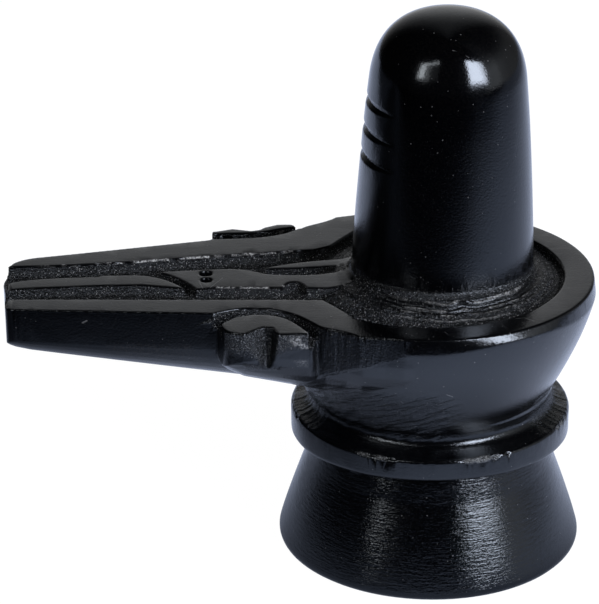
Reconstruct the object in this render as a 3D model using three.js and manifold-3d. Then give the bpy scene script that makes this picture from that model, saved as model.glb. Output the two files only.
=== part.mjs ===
// A small Shiva lingam on its yoni pedestal, carved in one piece from black stone and polished.
//
// Millimetres, +Z up. The origin is the middle of the foot's flat underside, which the stone rests on. The
// spout points along -X. Its side toward -Y is called near and its side toward +Y far.
// From the ground up: a flared foot, a plain ring, a bowl with a level top, and the domed lingam.

import * as THREE from "three";
import { LoftGeometry } from "three/addons/geometries/LoftGeometry.js";
import { mergeVertices } from "three/addons/utils/BufferGeometryUtils.js";
import Module from "manifold-3d";

// ---------------------------------------------------------------- driving dimensions

const TOP = 65.8; // height of the pedestal's level top: the rim, the rails and the lugs all end there
const TURN_STEPS = 64; // facets round everything turned
const OFF_AXIS = 0.4; // the carving above the ring sits this much off the foot's axis, away from the spout

const FOOT = { radius: 35, edge: 1.4, neckRadius: 26.8, neckHeight: 25.6 };

const RING = {
  radius: 32, // its upright face
  low: 27.4, // lower end of the upright face
  high: 33.5, // upper end, a crisp arris
  under: 26.6, // height of the ledge underneath, at the face
  drift: 2, // the groove under the ring was cut by eye, and runs this much higher toward -Y
};

const BOWL = {
  x: -1.2, // from the upper carving's own origin
  base: 28.1, // radius at its lower edge, over the ring
  baseHeight: 39.1,
  widest: 37.9, // radius at the crease under the rim
  widestHeight: 62.2,
  rim: 37.5, // radius of the rim just under the level top
  rise: 1.7, // the crease was cut by eye, and climbs this much at `riseTurn` and nothing `riseReach` from there
  riseTurn: THREE.MathUtils.degToRad(-62),
  riseReach: THREE.MathUtils.degToRad(37),
};

const RECESS = { radius: 30.8, floor: 63.5 };

const SPOUT = {
  tip: -96,
  keel: 52.8, // height of its underside close to the tip
  slope: 0.157, // how fast the underside falls toward the bowl
  shoulder: 59.7, // the sides are upright above this height, and round under below it
  shoulderSlope: 0.035,
  root: -26, // where the spout's hull is well inside the bowl
};

// The two sides of the spout differ a little. Half widths are measured from the spout's centre plane, and a lug's
// groove lies between `railEdge` and `lugEdge`, each a smooth line through (x, half width).
const NEAR = {
  sign: -1,
  corner: 3,
  tipHalf: 14.6,
  railHalf: 19.8,
  lugLeft: 29.6,
  lugMiddle: 31.9,
  lugRight: 32.9,
  fluteHalf: 27.6, // half width at the flute's deepest point
  railEdge: [[-52, 21.4], [-49.5, 19.2], [-44.4, 17.5], [-40.6, 17.8], [-37.2, 18.6], [-32.4, 22], [-28, 28]],
  lugEdge: [[-50, 28], [-48.4, 24.8], [-44.6, 21.6], [-38.3, 21.5], [-33.8, 24.9], [-29.6, 33]],
};
const FAR = {
  sign: 1,
  corner: 6.5,
  tipHalf: 13.9,
  railHalf: 22.4,
  lugLeft: 27.2,
  lugMiddle: 29,
  lugRight: 30.6,
  fluteHalf: 27.1,
  railEdge: [[-52, 24], [-49.4, 22.9], [-42.6, 22.6], [-36.9, 23.3], [-32.2, 25.1], [-28.2, 28.3]],
  lugEdge: [[-50.5, 25], [-47.5, 26], [-41, 25.8], [-37.4, 26.3], [-32.7, 28.1], [-29.4, 28.8]],
};

const CHANNEL = { tipHalf: 9.9, rootHalf: 14.8, root: -26 };

const LUG = { left: -49, right: -29.7, shoulder: 62, keel: 48.9, grooveDepth: 3.4 };

// The flute down a lug's front, at the level top and where it runs out below.
const FLUTE = {
  top: { left: -44.5, deepest: -40.2, right: -36.7, height: TOP },
  end: { left: -40.6, deepest: -39.3, right: -38.1, height: 56.5 },
};

const LINGAM = {
  x: 2, // off the bowl's centre, away from the spout
  lean: 0.012, // and leans away from the spout, in millimetres for each millimetre of height
  height: 127.5,
  crown: 14.5, // height of the domed end
  foot: 20.5, // radius where it meets the collar
  neck: 17.3, // radius where the dome begins
  footHeight: 67,
};

const LINE = { heights: [107.4, 101, 94.9], deep: 1, tall: 2.1, reach: THREE.MathUtils.degToRad(46) };

const RELIEF = { floor: 62.5, top: 65.6 };

// ---------------------------------------------------------------- solids

const wasm = await Module();
wasm.setup();

/** A closed three.js geometry as a solid that can be joined and cut. */
function solid(geometry) {
  const bare = new THREE.BufferGeometry();
  bare.setAttribute("position", geometry.attributes.position);
  bare.setIndex(geometry.index);
  const merged = mergeVertices(bare, 1e-4);
  const vertProperties = new Float32Array(merged.attributes.position.array);
  const triVerts = new Uint32Array(merged.index.array);
  return new wasm.Manifold(new wasm.Mesh({ numProp: 3, vertProperties, triVerts }));
}

/** A solid back as a three.js geometry. */
function geometryOf(body) {
  const mesh = body.getMesh();
  const geometry = new THREE.BufferGeometry();
  geometry.setAttribute("position", new THREE.BufferAttribute(new Float32Array(mesh.vertProperties), 3));
  geometry.setIndex(new THREE.BufferAttribute(new Uint32Array(mesh.triVerts), 1));
  return geometry;
}

/** A profile of (radius, height), from the axis and back to it, turned round the Z axis. */
function turned(profile, steps = TURN_STEPS) {
  return new THREE.LatheGeometry(profile, steps).rotateX(Math.PI / 2);
}

/** A plan outline raised from one height to another. */
function raised(shape, low, high, curveSegments = 8) {
  const depth = high - low;
  return solid(new THREE.ExtrudeGeometry(shape, { depth, curveSegments, bevelEnabled: false }).translate(0, 0, low));
}

/** A point in plan, on the side that `side` names. */
function at(side, x, half) {
  return new THREE.Vector2(x, side.sign * half);
}

// ---------------------------------------------------------------- foot, ring and bowl

function footAndRing() {
  const profile = new THREE.Path();
  profile.moveTo(0, 0);
  profile.lineTo(FOOT.radius - FOOT.edge, 0);
  profile.quadraticCurveTo(FOOT.radius, 0, FOOT.radius - 0.1, FOOT.edge);
  profile.quadraticCurveTo(FOOT.radius - 1.8, 8.5, FOOT.neckRadius, FOOT.neckHeight);
  profile.lineTo(RING.radius - 0.8, RING.under);
  profile.lineTo(RING.radius, RING.low);
  profile.lineTo(RING.radius, RING.high);
  profile.lineTo(RING.radius - 0.6, RING.high + 0.4);
  profile.bezierCurveTo(RING.radius - 3.6, 34.5, BOWL.base - 1.8, 35.8, BOWL.base, BOWL.baseHeight);
  profile.lineTo(BOWL.base, BOWL.baseHeight + 1);
  profile.lineTo(0, BOWL.baseHeight + 1);
  return solid(driftGroove(turned(profile.getPoints(6))));
}

/** Lifts the groove under the ring toward -Y, and drops it toward +Y. */
function driftGroove(geometry) {
  const reach = 6; // of the lift, above and below the groove
  const place = geometry.attributes.position;
  for (let i = 0; i < place.count; i++) {
    const away = (place.getZ(i) - RING.low) / reach;
    const share = Math.max(0, 1 - away * away);
    place.setZ(i, place.getZ(i) - (share * RING.drift * place.getY(i)) / RING.radius);
  }
  return geometry;
}

function bowl() {
  const profile = new THREE.Path();
  profile.moveTo(0, BOWL.baseHeight - 0.5);
  profile.lineTo(BOWL.base - 0.2, BOWL.baseHeight - 0.5);
  profile.quadraticCurveTo(BOWL.widest - 2.4, 52, BOWL.widest, BOWL.widestHeight);
  profile.lineTo(BOWL.rim, TOP - 0.4);
  profile.lineTo(BOWL.rim - 0.4, TOP);
  profile.lineTo(0, TOP);
  return solid(raiseCrease(turned(profile.getPoints(7)))).translate([BOWL.x, 0, 0]);
}

/** Lifts the crease under the bowl's rim where it climbs. */
function raiseCrease(geometry) {
  const place = geometry.attributes.position;
  for (let i = 0; i < place.count; i++) {
    const away = Math.abs(Math.atan2(place.getY(i), place.getX(i)) - BOWL.riseTurn) / BOWL.riseReach;
    const onCrease = Math.abs(place.getZ(i) - BOWL.widestHeight) < 0.01;
    if (onCrease && away < 1) {
      place.setZ(i, BOWL.widestHeight + BOWL.rise * Math.cos((away * Math.PI) / 2) ** 2);
    }
  }
  return geometry;
}

// ---------------------------------------------------------------- spout and lugs

/**
 * One cross section of a hull at x: upright sides down to `shoulder`, at the half widths `near` and `far`, and
 * half an ellipse below, down to `keel`.
 */
function hullSection(x, near, far, shoulder, keel) {
  const steps = 12;
  const points = [new THREE.Vector3(x, -near, TOP + 1)];
  for (let i = 0; i <= steps; i++) {
    const turn = (Math.PI * i) / steps;
    const half = 2 * i < steps ? near : far;
    points.push(new THREE.Vector3(x, -half * Math.cos(turn), shoulder - (shoulder - keel) * Math.sin(turn)));
  }
  points.push(new THREE.Vector3(x, far, TOP + 1));
  return points;
}

function hull(sections) {
  return solid(new LoftGeometry(sections, { capStart: true, capEnd: true }));
}

/** The slim hull that runs out to the tip, where its underside is rounded up a little. */
function spoutHull() {
  const margin = 0.15; // outside the plan outline, which trims it
  const rows = [
    [SPOUT.tip - 0.5, 2],
    [SPOUT.tip + 1.2, 0.7],
    [SPOUT.tip + 4, 0.2],
    [SPOUT.tip + 12, 0],
    [-64, 0],
    [-48, 0],
    [SPOUT.root, 0],
  ];
  const sections = rows.map(([x, lift]) => {
    const along = x - SPOUT.tip;
    const near = railHalf(NEAR, x) + margin;
    const far = railHalf(FAR, x) + margin;
    const shoulder = SPOUT.shoulder - SPOUT.shoulderSlope * along;
    return hullSection(x, near, far, shoulder, SPOUT.keel - SPOUT.slope * along + lift);
  });
  return hull(sections);
}

/** Half the spout's width at x, on one side. */
function railHalf(side, x) {
  return side.tipHalf + ((x - SPOUT.tip) / (LUG.left - SPOUT.tip)) * (side.railHalf - side.tipHalf);
}

/** The wide hull under the two lugs, which runs back into the bowl. */
function lugHull() {
  const rows = [
    [LUG.left - 0.8, 31.8, LUG.keel + 5],
    [LUG.left + 1.6, 31.8, LUG.keel + 1.2],
    [LUG.left + 5, 31.8, LUG.keel - 1.4],
    [LUG.right - 3, 31.8, LUG.keel - 4.9],
    [-26.5, 32, 42.2],
    [-22, 33.2, 40.9],
    [-18.8, 35.3, 40],
    [-14, 36, 39.2],
    [-10, 36.9, 38.9],
    [-6, 36.8, 38.6],
  ];
  return hull(rows.map(([x, half, keel]) => hullSection(x, half, half, LUG.shoulder, keel)));
}

/** One side of the upper part's outline, seen from above, from the tip back past the bowl. */
function sideOutline(side) {
  const path = new THREE.Path();
  const go = (x, half) => path.lineTo(x, side.sign * half);
  path.moveTo(SPOUT.tip, 0);
  go(SPOUT.tip, side.tipHalf - side.corner);
  path.quadraticCurveTo(SPOUT.tip, side.sign * side.tipHalf, SPOUT.tip + side.corner, side.sign * side.tipHalf);
  go(LUG.left - 0.6, side.railHalf);
  go(LUG.left, side.railHalf + 5);
  path.quadraticCurveTo(LUG.left + 0.1, side.sign * side.lugLeft, LUG.left + 2.6, side.sign * (side.lugLeft + 0.8));
  go(FLUTE.top.left, side.lugLeft + 1.4);
  go(FLUTE.top.right, side.lugMiddle);
  go(LUG.right - 4, side.lugRight);
  go(LUG.right - 1.8, side.lugRight);
  path.quadraticCurveTo(LUG.right, side.sign * side.lugRight, LUG.right + 0.1, side.sign * (side.lugRight - 1.6));
  go(-28.3, 27.8);
  path.bezierCurveTo(-26.4, side.sign * 30.2, -22.4, side.sign * 30.8, -19.6, side.sign * 34.2);
  go(-13, 35.75);
  go(-9, 37.1);
  go(-4, 38.3);
  go(0, 40);
  return path.getPoints(6);
}

/** The whole outline: everything outside it is cut away, straight down. */
function outline() {
  const behind = BOWL.widest + 4; // clear of the bowl
  const near = sideOutline(NEAR);
  const far = sideOutline(FAR).reverse();
  far.pop(); // the middle of the tip is already there
  return new THREE.Shape([...near, new THREE.Vector2(behind, -40), new THREE.Vector2(behind, 40), ...far]);
}

/** The curved groove that parts a lug from its rail: between the rail's edge and the lug's inner edge. */
function lugGroove(side) {
  const line = (stops) => new THREE.SplineCurve(stops.map(([x, half]) => at(side, x, half))).getPoints(12);
  const shape = new THREE.Shape([...line(side.railEdge), ...line(side.lugEdge).reverse()]);
  return raised(shape, TOP - LUG.grooveDepth, TOP + 2);
}

/** Cutter for the flute down a lug's front, deepest at the level top. */
function flute(side) {
  const clear = 4; // outside the lug's front
  const face = side.lugLeft + 1.4;
  const section = (row, deep, height) => {
    const stops = [
      [row.left, face + clear],
      [row.left, face],
      [row.deepest, deep],
      [row.right - 0.3 * (row.right - row.deepest), deep + 0.6],
      [row.right, Math.max(side.lugMiddle, deep + 1)],
      [row.right, face + clear],
    ];
    const points = stops.map(([x, half]) => new THREE.Vector3(x, side.sign * half, height));
    return side.sign < 0 ? points.reverse() : points;
  };
  const slope = (face - 1.2 - side.fluteHalf) / (FLUTE.top.height - FLUTE.end.height);
  const above = 1; // the cutter reaches this far over the level top
  const upper = section(FLUTE.top, side.fluteHalf - slope * above, FLUTE.top.height + above);
  return hull([section(FLUTE.end, face - 1.2, FLUTE.end.height), upper]);
}

// ---------------------------------------------------------------- hollows in the level top

/** Half the channel's width at x. */
function channelHalf(x) {
  const share = (x - SPOUT.tip) / (CHANNEL.root - SPOUT.tip);
  return CHANNEL.tipHalf + share * (CHANNEL.rootHalf - CHANNEL.tipHalf);
}

/**
 * The round recess and the channel that leads out of it, as one cutter with a level floor. Where the two meet,
 * the near side is cut on a slant, and the far side bulges inward over the recess.
 */
function hollow() {
  const start = SPOUT.tip - 1;
  const shape = new THREE.Shape();
  shape.moveTo(start, -channelHalf(start) - 1.2);
  shape.quadraticCurveTo(SPOUT.tip + 1, -channelHalf(start), SPOUT.tip + 3.5, -channelHalf(SPOUT.tip + 3.5));
  shape.lineTo(CHANNEL.root, -CHANNEL.rootHalf);
  shape.quadraticCurveTo(-24.8, -16.2, -21, -22);
  const nearTurn = THREE.MathUtils.degToRad(-126);
  const farTurn = THREE.MathUtils.degToRad(114);
  shape.absarc(BOWL.x, 0, RECESS.radius, nearTurn, farTurn, false);
  shape.quadraticCurveTo(-17.2, 23.6, -22.2, 16.6);
  shape.lineTo(CHANNEL.root, CHANNEL.rootHalf);
  shape.lineTo(start, channelHalf(start));
  return raised(shape, RECESS.floor, TOP + 2, TURN_STEPS / 2);
}

// ---------------------------------------------------------------- lingam

/**
 * The lingam, with the rough collar it rises from: the recess's floor climbs to it in shallow steps.
 */
function lingam() {
  const low = 60; // its root, inside the bowl
  const collar = [[29.4, low], [28.4, 63.8], [26.9, 64], [26.6, 64.5], [24.4, 64.7], [24.1, 65.2], [21.6, 66]];
  const spring = LINGAM.height - LINGAM.crown;
  const profile = new THREE.Path();
  profile.moveTo(0, low);
  collar.forEach(([radius, height]) => profile.lineTo(radius, height));
  profile.lineTo(LINGAM.foot, LINGAM.footHeight);
  profile.quadraticCurveTo(LINGAM.foot - 1, 92, LINGAM.neck, spring);
  profile.bezierCurveTo(LINGAM.neck - 0.9, spring + 7.2, 12.4, LINGAM.height, 0, LINGAM.height);
  const body = solid(leaning(turned(profile.getPoints(8))));
  return LINE.heights.reduce((left, height) => left.subtract(sacredLine(height)), body);
}

/** Leans a geometry away from the spout and sets it at the lingam's place. */
function leaning(geometry) {
  const shear = new THREE.Matrix4().makeShear(0, 0, 0, 0, LINGAM.lean, 0);
  geometry.translate(0, 0, -TOP).applyMatrix4(shear);
  return geometry.translate(LINGAM.x, 0, TOP);
}

/** Radius of the lingam at a height between the collar and the dome. */
function lingamRadius(height) {
  const share = (height - LINGAM.footHeight) / (LINGAM.height - LINGAM.crown - LINGAM.footHeight);
  return LINGAM.foot + share * (LINGAM.neck - LINGAM.foot) + 1.2 * share * (1 - share);
}

/**
 * Cutter for one of the three lines over the spout: a ring with its edge inward, turned about an axis that is
 * shifted away from the spout, so that the cut is deepest over the spout and runs out at `reach` to each side.
 */
function sacredLine(height) {
  const radius = lingamRadius(height);
  const shift = (LINE.deep / (1 - Math.cos(LINE.reach))) * 1.04;
  const edge = radius - LINE.deep + shift;
  const out = 3;
  const flare = (LINE.tall / 2 / LINE.deep) * out;
  const profile = [[edge, 0], [edge + out, -flare], [edge + out, flare], [edge, 0]];
  const ring = turned(profile.map(([r, z]) => new THREE.Vector2(r, z)));
  const x = LINGAM.x + (height - TOP) * LINGAM.lean + shift;
  return solid(ring).translate([x, 0, height]);
}

// ---------------------------------------------------------------- serpent in the channel

/** The serpent's forked end, a long strip that runs out to the tip. */
function tongue() {
  const shape = new THREE.Shape();
  shape.moveTo(SPOUT.tip + 0.3, -1.6);
  shape.quadraticCurveTo(-92, -2.5, -86, -2.5);
  shape.lineTo(-70, -2.8);
  shape.lineTo(-58.6, -4.4);
  shape.quadraticCurveTo(-62, 1.6, -67, 2.6);
  shape.lineTo(-75, 2.9);
  shape.lineTo(-84, 2.4);
  shape.quadraticCurveTo(-92, 1.9, SPOUT.tip + 0.3, -0.6);
  return raised(shape, RELIEF.floor, RELIEF.top, 5);
}

/** The serpent's head and the near strand of its body, which is notched once. */
function headAndBody() {
  const shape = new THREE.Shape();
  shape.moveTo(-61, 3.3);
  shape.quadraticCurveTo(-56, -0.4, -53.4, -5.6);
  shape.lineTo(-49, -5);
  shape.quadraticCurveTo(-40, -6.2, -34.6, -6.3);
  shape.bezierCurveTo(-33.6, -2, -30.2, -2, -29.2, -6.6);
  shape.lineTo(-24, -7.2);
  shape.quadraticCurveTo(-20, -6.4, -14, -3);
  shape.lineTo(-14, 4);
  shape.quadraticCurveTo(-20, 2, -26, 0.9);
  shape.quadraticCurveTo(-33, 0.3, -38, 2);
  shape.quadraticCurveTo(-42, 5, -46, 5.6);
  shape.quadraticCurveTo(-54, 5.6, -61, 3.3);
  return raised(shape, RELIEF.floor, RELIEF.top, 5);
}

/** The far strand of the body, a thin crescent. */
function farStrand() {
  const shape = new THREE.Shape();
  shape.moveTo(-37, 4.9);
  shape.quadraticCurveTo(-28, 4, -16, 6.4);
  shape.lineTo(-15, 9.4);
  shape.quadraticCurveTo(-28, 9.6, -37, 4.9);
  return raised(shape, RELIEF.floor, RELIEF.top, 5);
}

/** Cutters for the two eyes, shallow drilled pits. */
function eyes() {
  const pit = (x, y, radius) =>
    solid(new THREE.CylinderGeometry(radius, radius * 0.5, 1.6, 12).rotateX(Math.PI / 2)).translate([x, y, RELIEF.top]);
  return pit(-51.4, 3.1, 1.1).add(pit(-51.4, -0.6, 1.3));
}

function serpent() {
  return tongue().add(headAndBody()).add(farStrand()).subtract(eyes());
}

// ---------------------------------------------------------------- the whole stone

function stoneBody() {
  const upper = bowl().add(spoutHull()).add(lugHull());
  const block = raised(outline(), BOWL.baseHeight - 10, TOP);
  const cut = [lugGroove(NEAR), lugGroove(FAR), flute(NEAR), flute(FAR), hollow()].reduce((all, one) => all.add(one));
  const carving = upper.intersect(block).subtract(cut).add(serpent()).add(lingam());
  return carving.translate([OFF_AXIS, 0, 0]).add(footAndRing());
}

const blackStone = new THREE.MeshStandardMaterial({ color: 0x14161a, roughness: 0.3, metalness: 0 });

const stone = new THREE.Mesh(geometryOf(stoneBody()), blackStone);
stone.name = "lingam_stone";

const shivaLingam = new THREE.Group();
shivaLingam.add(stone);

export default shivaLingam;
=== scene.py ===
"""A Shiva lingam on its pedestal, carved in one block of black stone: its shape, finish and studio."""

import logging
import math
from collections.abc import Callable
from dataclasses import dataclass, field
from enum import Enum
from functools import reduce

import bmesh
import bpy
import numpy as np
from mathutils import Matrix, Vector


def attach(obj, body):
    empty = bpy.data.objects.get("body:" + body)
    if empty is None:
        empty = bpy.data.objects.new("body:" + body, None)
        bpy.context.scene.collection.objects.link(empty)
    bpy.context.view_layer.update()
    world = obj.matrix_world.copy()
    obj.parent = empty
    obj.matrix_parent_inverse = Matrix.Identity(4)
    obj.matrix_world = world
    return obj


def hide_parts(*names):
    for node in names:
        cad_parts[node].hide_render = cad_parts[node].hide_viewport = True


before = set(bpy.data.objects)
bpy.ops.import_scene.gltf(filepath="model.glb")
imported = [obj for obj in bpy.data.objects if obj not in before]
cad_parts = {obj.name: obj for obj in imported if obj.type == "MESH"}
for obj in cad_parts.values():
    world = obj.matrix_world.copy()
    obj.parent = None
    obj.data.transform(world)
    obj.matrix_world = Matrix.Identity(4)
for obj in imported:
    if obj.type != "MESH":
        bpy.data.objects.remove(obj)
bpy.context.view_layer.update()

log = logging.getLogger("carving")

MM = 0.001
TOP = 65.8  # height of the pedestal's level top, in millimetres
TIP = -96.0  # where the spout ends, but for its end face being askew
OFF_AXIS = 0.4  # the carving above the ring sits this far off the foot's axis, away from the spout
TOUCH = 1e-6  # points nearer than this, in metres, are one point
MARKS = ("pecked", "dust_and_wall_shade", "ridges", "strokes", "slanted", "radial", "stipple")
MARKS += ("wear_and_top_sheen", "gloss", "lathe", "bruised", "crests", "nicks_and_glints")
Spot = tuple[float, float]  # x and y, radius and height, or a place on a curve and its value
Plan = list[Spot]
Range = tuple[float, float]
Colour = tuple[float, float, float, float]
Socket = bpy.types.NodeSocket
Value = Socket | float | tuple
Inputs = dict[int | str, Value]  # by number or name


class Join(Enum):
    """How a piece of stone is joined to the block, or cut from it."""

    ADD = "UNION"
    CUT = "DIFFERENCE"
    KEEP_COMMON = "INTERSECT"


class Lay(Enum):
    """The way that fine lines run over the stone: how many of them come to a millimetre of x, y and z."""

    ROUND = (0.27, 0.27, 2.0)
    UPRIGHT = (2.2, 2.2, 0.22)
    ALONG = (0.12, 1.6, 1.6)
    SLANTED = (0.13, 0.13, 1.9)


# ---------------------------------------------------------------- drawing and modelling steps


@dataclass
class Pen:
    """Draws an open line of points from straight and curved strokes, in millimetres."""

    points: Plan = field(default_factory=list)

    def line(self, *stops: Spot) -> "Pen":
        """Draws straight strokes through points, and returns the pen for the next stroke."""
        self.points.extend(stops)
        return self

    def curve(self, *controls: Spot, steps: int = 10) -> "Pen":
        """Draws one curved stroke from where the pen is.

        Args:
            controls: One or two control points and then the end of the stroke.
            steps: How many points the stroke takes.

        Returns:
            The pen itself.
        """
        stops = [self.points[-1], *controls]
        degree = len(stops) - 1
        for step in range(1, steps + 1):
            t = step / steps
            pull = [math.comb(degree, k) * t**k * (1 - t) ** (degree - k) for k in range(degree + 1)]
            self.points.append(tuple(sum(p * stop[axis] for p, stop in zip(pull, stops)) for axis in (0, 1)))
        return self

    def arc(self, centre: Spot, radius: float, start: float, end: float, steps: int) -> "Pen":
        """Draws part of a circle.

        Args:
            centre: The circle's centre.
            radius: The circle's radius.
            start: The first direction, in degrees.
            end: The last direction, in degrees.
            steps: How many strokes the arc takes.

        Returns:
            The pen itself.
        """
        for step in range(steps + 1):
            turn = math.radians(start + (end - start) * step / steps)
            self.points.append((centre[0] + radius * math.cos(turn), centre[1] + radius * math.sin(turn)))
        return self


class Bench:
    """The steps in edit mode that every piece of the block is made with."""

    @staticmethod
    def pick(piece: bpy.types.Object) -> None:
        """Makes a piece the only one selected, and the active one.

        Args:
            piece: The piece to work on next.
        """
        bpy.ops.object.select_all(action="DESELECT")
        piece.select_set(True)
        bpy.context.view_layer.objects.active = piece

    @staticmethod
    def open(name: str, at: Vector) -> bpy.types.Object:
        """Starts a new mesh as one point.

        Args:
            name: The mesh's name.
            at: Where the point is, in metres.

        Returns:
            The new object, in edit mode.
        """
        bpy.ops.object.select_all(action="DESELECT")
        bpy.ops.mesh.primitive_plane_add(size=MM, location=at)
        piece = bpy.context.active_object
        bpy.ops.object.transform_apply(location=True, rotation=True, scale=True)
        piece.name = name
        bpy.ops.object.mode_set(mode="EDIT")
        bpy.ops.mesh.select_mode(type="VERT")
        bpy.ops.mesh.select_all(action="SELECT")
        bpy.ops.mesh.merge(type="CENTER")
        return piece

    @staticmethod
    def close(piece: bpy.types.Object) -> bpy.types.Object:
        """Merges what coincides, turns all faces outward and leaves edit mode.

        Args:
            piece: The object in edit mode.

        Returns:
            The same object.
        """
        bpy.ops.mesh.select_all(action="SELECT")
        bpy.ops.mesh.remove_doubles(threshold=TOUCH)
        bpy.ops.mesh.normals_make_consistent(inside=False)
        bpy.ops.object.mode_set(mode="OBJECT")
        return piece

    @staticmethod
    def run_line(points: list[Vector]) -> None:
        """Extrudes the selected point along a line.

        Args:
            points: The line's points; the selected point is already at the first of them.
        """
        for start, end in zip(points, points[1:]):
            if (end - start).length > TOUCH / 10:
                bpy.ops.mesh.extrude_region_move(TRANSFORM_OT_translate={"value": end - start})

    @staticmethod
    def turn(name: str, profile: Plan, steps: int = 128) -> bpy.types.Object:
        """Turns a profile round the upright axis.

        Args:
            name: The object's name.
            profile: Radius and height of each point, from the axis and back to it, in millimetres.
            steps: How many facets go round.

        Returns:
            A closed solid.
        """
        points = [Vector((radius * MM, 0, height * MM)) for radius, height in profile]
        piece = Bench.open(name, points[0])
        Bench.run_line(points)
        bpy.ops.mesh.select_all(action="SELECT")
        bpy.ops.mesh.spin(steps=steps, dupli=False, angle=math.tau, center=(0, 0, 0), axis=(0, 0, 1))
        return Bench.close(piece)

    @staticmethod
    def raise_plan(name: str, plan: Plan, low: float, high: float) -> bpy.types.Object:
        """Raises an outline from one height to another.

        Args:
            name: The object's name.
            plan: The outline seen from above, in millimetres.
            low: Height of its underside.
            high: Height of its top.

        Returns:
            A closed solid.
        """
        points = [Vector((x * MM, y * MM, low * MM)) for x, y in [*plan, plan[0]]]
        piece = Bench.open(name, points[0])
        Bench.run_line(points)
        bpy.ops.mesh.select_all(action="SELECT")
        bpy.ops.mesh.remove_doubles(threshold=TOUCH)
        bpy.ops.mesh.edge_face_add()
        bpy.ops.mesh.extrude_region_move(TRANSFORM_OT_translate={"value": (0, 0, (high - low) * MM)})
        return Bench.close(piece)

    @staticmethod
    def loft(name: str, rings: list[list[Vector]]) -> bpy.types.Object:
        """Bridges cross sections into one hull.

        Args:
            name: The object's name.
            rings: The sections in order, each a closed ring of points in millimetres.

        Returns:
            A closed solid.
        """
        piece = Bench.open(name, rings[0][0] * MM)
        for ring in rings:
            points = [point * MM for point in [*ring, ring[0]]]
            if ring is not rings[0]:
                bpy.ops.mesh.select_all(action="DESELECT")
                bpy.ops.mesh.primitive_plane_add(size=MM, location=points[0])
                bpy.ops.mesh.merge(type="CENTER")
            Bench.run_line(points)
        bpy.ops.mesh.select_all(action="SELECT")
        bpy.ops.mesh.remove_doubles(threshold=TOUCH)
        bpy.ops.mesh.bridge_edge_loops()
        for end in (rings[0], rings[-1]):
            Bench.select_where(piece, lambda at: any((at - corner * MM).length < TOUCH for corner in end))
            bpy.ops.mesh.edge_face_add()
        return Bench.close(piece)

    @staticmethod
    def slope_foot(piece: bpy.types.Object, size: float) -> None:
        """Draws a piece's level underside in and down, so that its walls end in a slope.

        Args:
            piece: The piece.
            size: How far in and down it goes, in millimetres.
        """
        Bench.pick(piece)
        lowest = min(vertex.co.z for vertex in piece.data.vertices)
        bpy.ops.object.mode_set(mode="EDIT")
        Bench.select_where(piece, lambda at: at.z < lowest + TOUCH)
        bpy.ops.mesh.inset(thickness=size * MM)
        bpy.ops.transform.translate(value=(0, 0, -size * MM))
        Bench.close(piece)

    @staticmethod
    def select_where(piece: bpy.types.Object, test: Callable[[Vector], bool]) -> None:
        """Selects points by their place.

        Args:
            piece: The object in edit mode.
            test: Tells from a point's place whether it is selected.
        """
        mesh = bmesh.from_edit_mesh(piece.data)
        for vertex in mesh.verts:
            vertex.select_set(test(vertex.co))
        mesh.select_flush(True)
        mesh.select_flush(False)
        bmesh.update_edit_mesh(piece.data)

    @staticmethod
    def apply(piece: bpy.types.Object, kind: str, **settings: object) -> None:
        """Adds a modifier and applies it at once.

        Args:
            piece: The object it works on.
            kind: The modifier's type.
            settings: The modifier's settings.
        """
        Bench.pick(piece)
        modifier = piece.modifiers.new(kind.lower(), kind)
        for key, value in settings.items():
            setattr(modifier, key, value)
        bpy.ops.object.modifier_apply(modifier=modifier.name)

    @staticmethod
    def combine(block: bpy.types.Object, other: bpy.types.Object, how: Join) -> bpy.types.Object:
        """Joins another solid to the block, or cuts it away, and removes it.

        Args:
            block: The solid that stays.
            other: The solid that is used up.
            how: What is done with it.

        Returns:
            The block.
        """
        Bench.apply(block, "BOOLEAN", operation=how.value, object=other, solver="EXACT")
        bpy.data.objects.remove(other)
        return block

    @staticmethod
    def shift(piece: bpy.types.Object, by: Vector) -> bpy.types.Object:
        """Moves a piece's mesh by millimetres, leaves its origin where it is, and returns the piece."""
        piece.data.transform(Matrix.Translation(by * MM))
        return piece


# ---------------------------------------------------------------- the parts of the block


@dataclass
class Base:
    """The flared foot, the ring over it and the cove under the bowl, turned as one."""

    foot_radius: float = 35.0
    neck_radius: float = 26.8
    neck_height: float = 25.6
    ring_radius: float = 32.0
    ring_low: float = 27.4
    ring_high: float = 33.5
    ledge: float = 26.6
    cove_radius: float = 26.3
    top_radius: float = 28.1
    top: float = 40.1
    drift: float = 3.6  # degrees that the groove under the ring is out of level
    drift_reach: float = 6.0  # how far above and below the groove this dies out

    def build(self) -> bpy.types.Object:
        """Turns the base, and tips its groove up toward the near side.

        Returns:
            The base, a closed solid.
        """
        foot, ring = self.foot_radius, self.ring_radius
        pen = Pen().line((0, 0), (foot - 2, 0)).curve((foot + 0.1, 0), (foot - 0.1, 1.9), steps=5)
        pen.curve((foot - 1.9, 9), (self.neck_radius, self.neck_height), steps=14)
        pen.curve((ring - 3, self.ledge - 0.3), (ring - 1, self.ledge + 0.1), steps=4)
        pen.curve((ring, self.ledge + 0.2), (ring, self.ring_low + 0.2), steps=3)
        pen.line((ring, self.ring_high - 2), (ring, self.ring_high - 0.1))
        pen.line((ring - 0.5, self.ring_high + 0.4))
        pen.curve((ring - 3.6, 34.5), (self.cove_radius, 35.8), (self.top_radius, self.top - 1), steps=12)
        pen.line((self.top_radius, self.top), (0, self.top))
        base = Bench.turn("base", pen.points)
        self.tip_groove(base)
        return base

    def tip_groove(self, base: bpy.types.Object) -> None:
        """Tips the groove under the ring about the spout's own direction, less so above and below it.

        Args:
            base: The turned base.
        """
        for vertex in base.data.vertices:
            row = vertex.co.z / MM
            share = 1 - ((row - self.ring_low) / self.drift_reach) ** 2
            if share > 0 and row < self.ring_high - 1:
                vertex.co.z -= vertex.co.y * math.tan(math.radians(self.drift * share))


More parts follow.
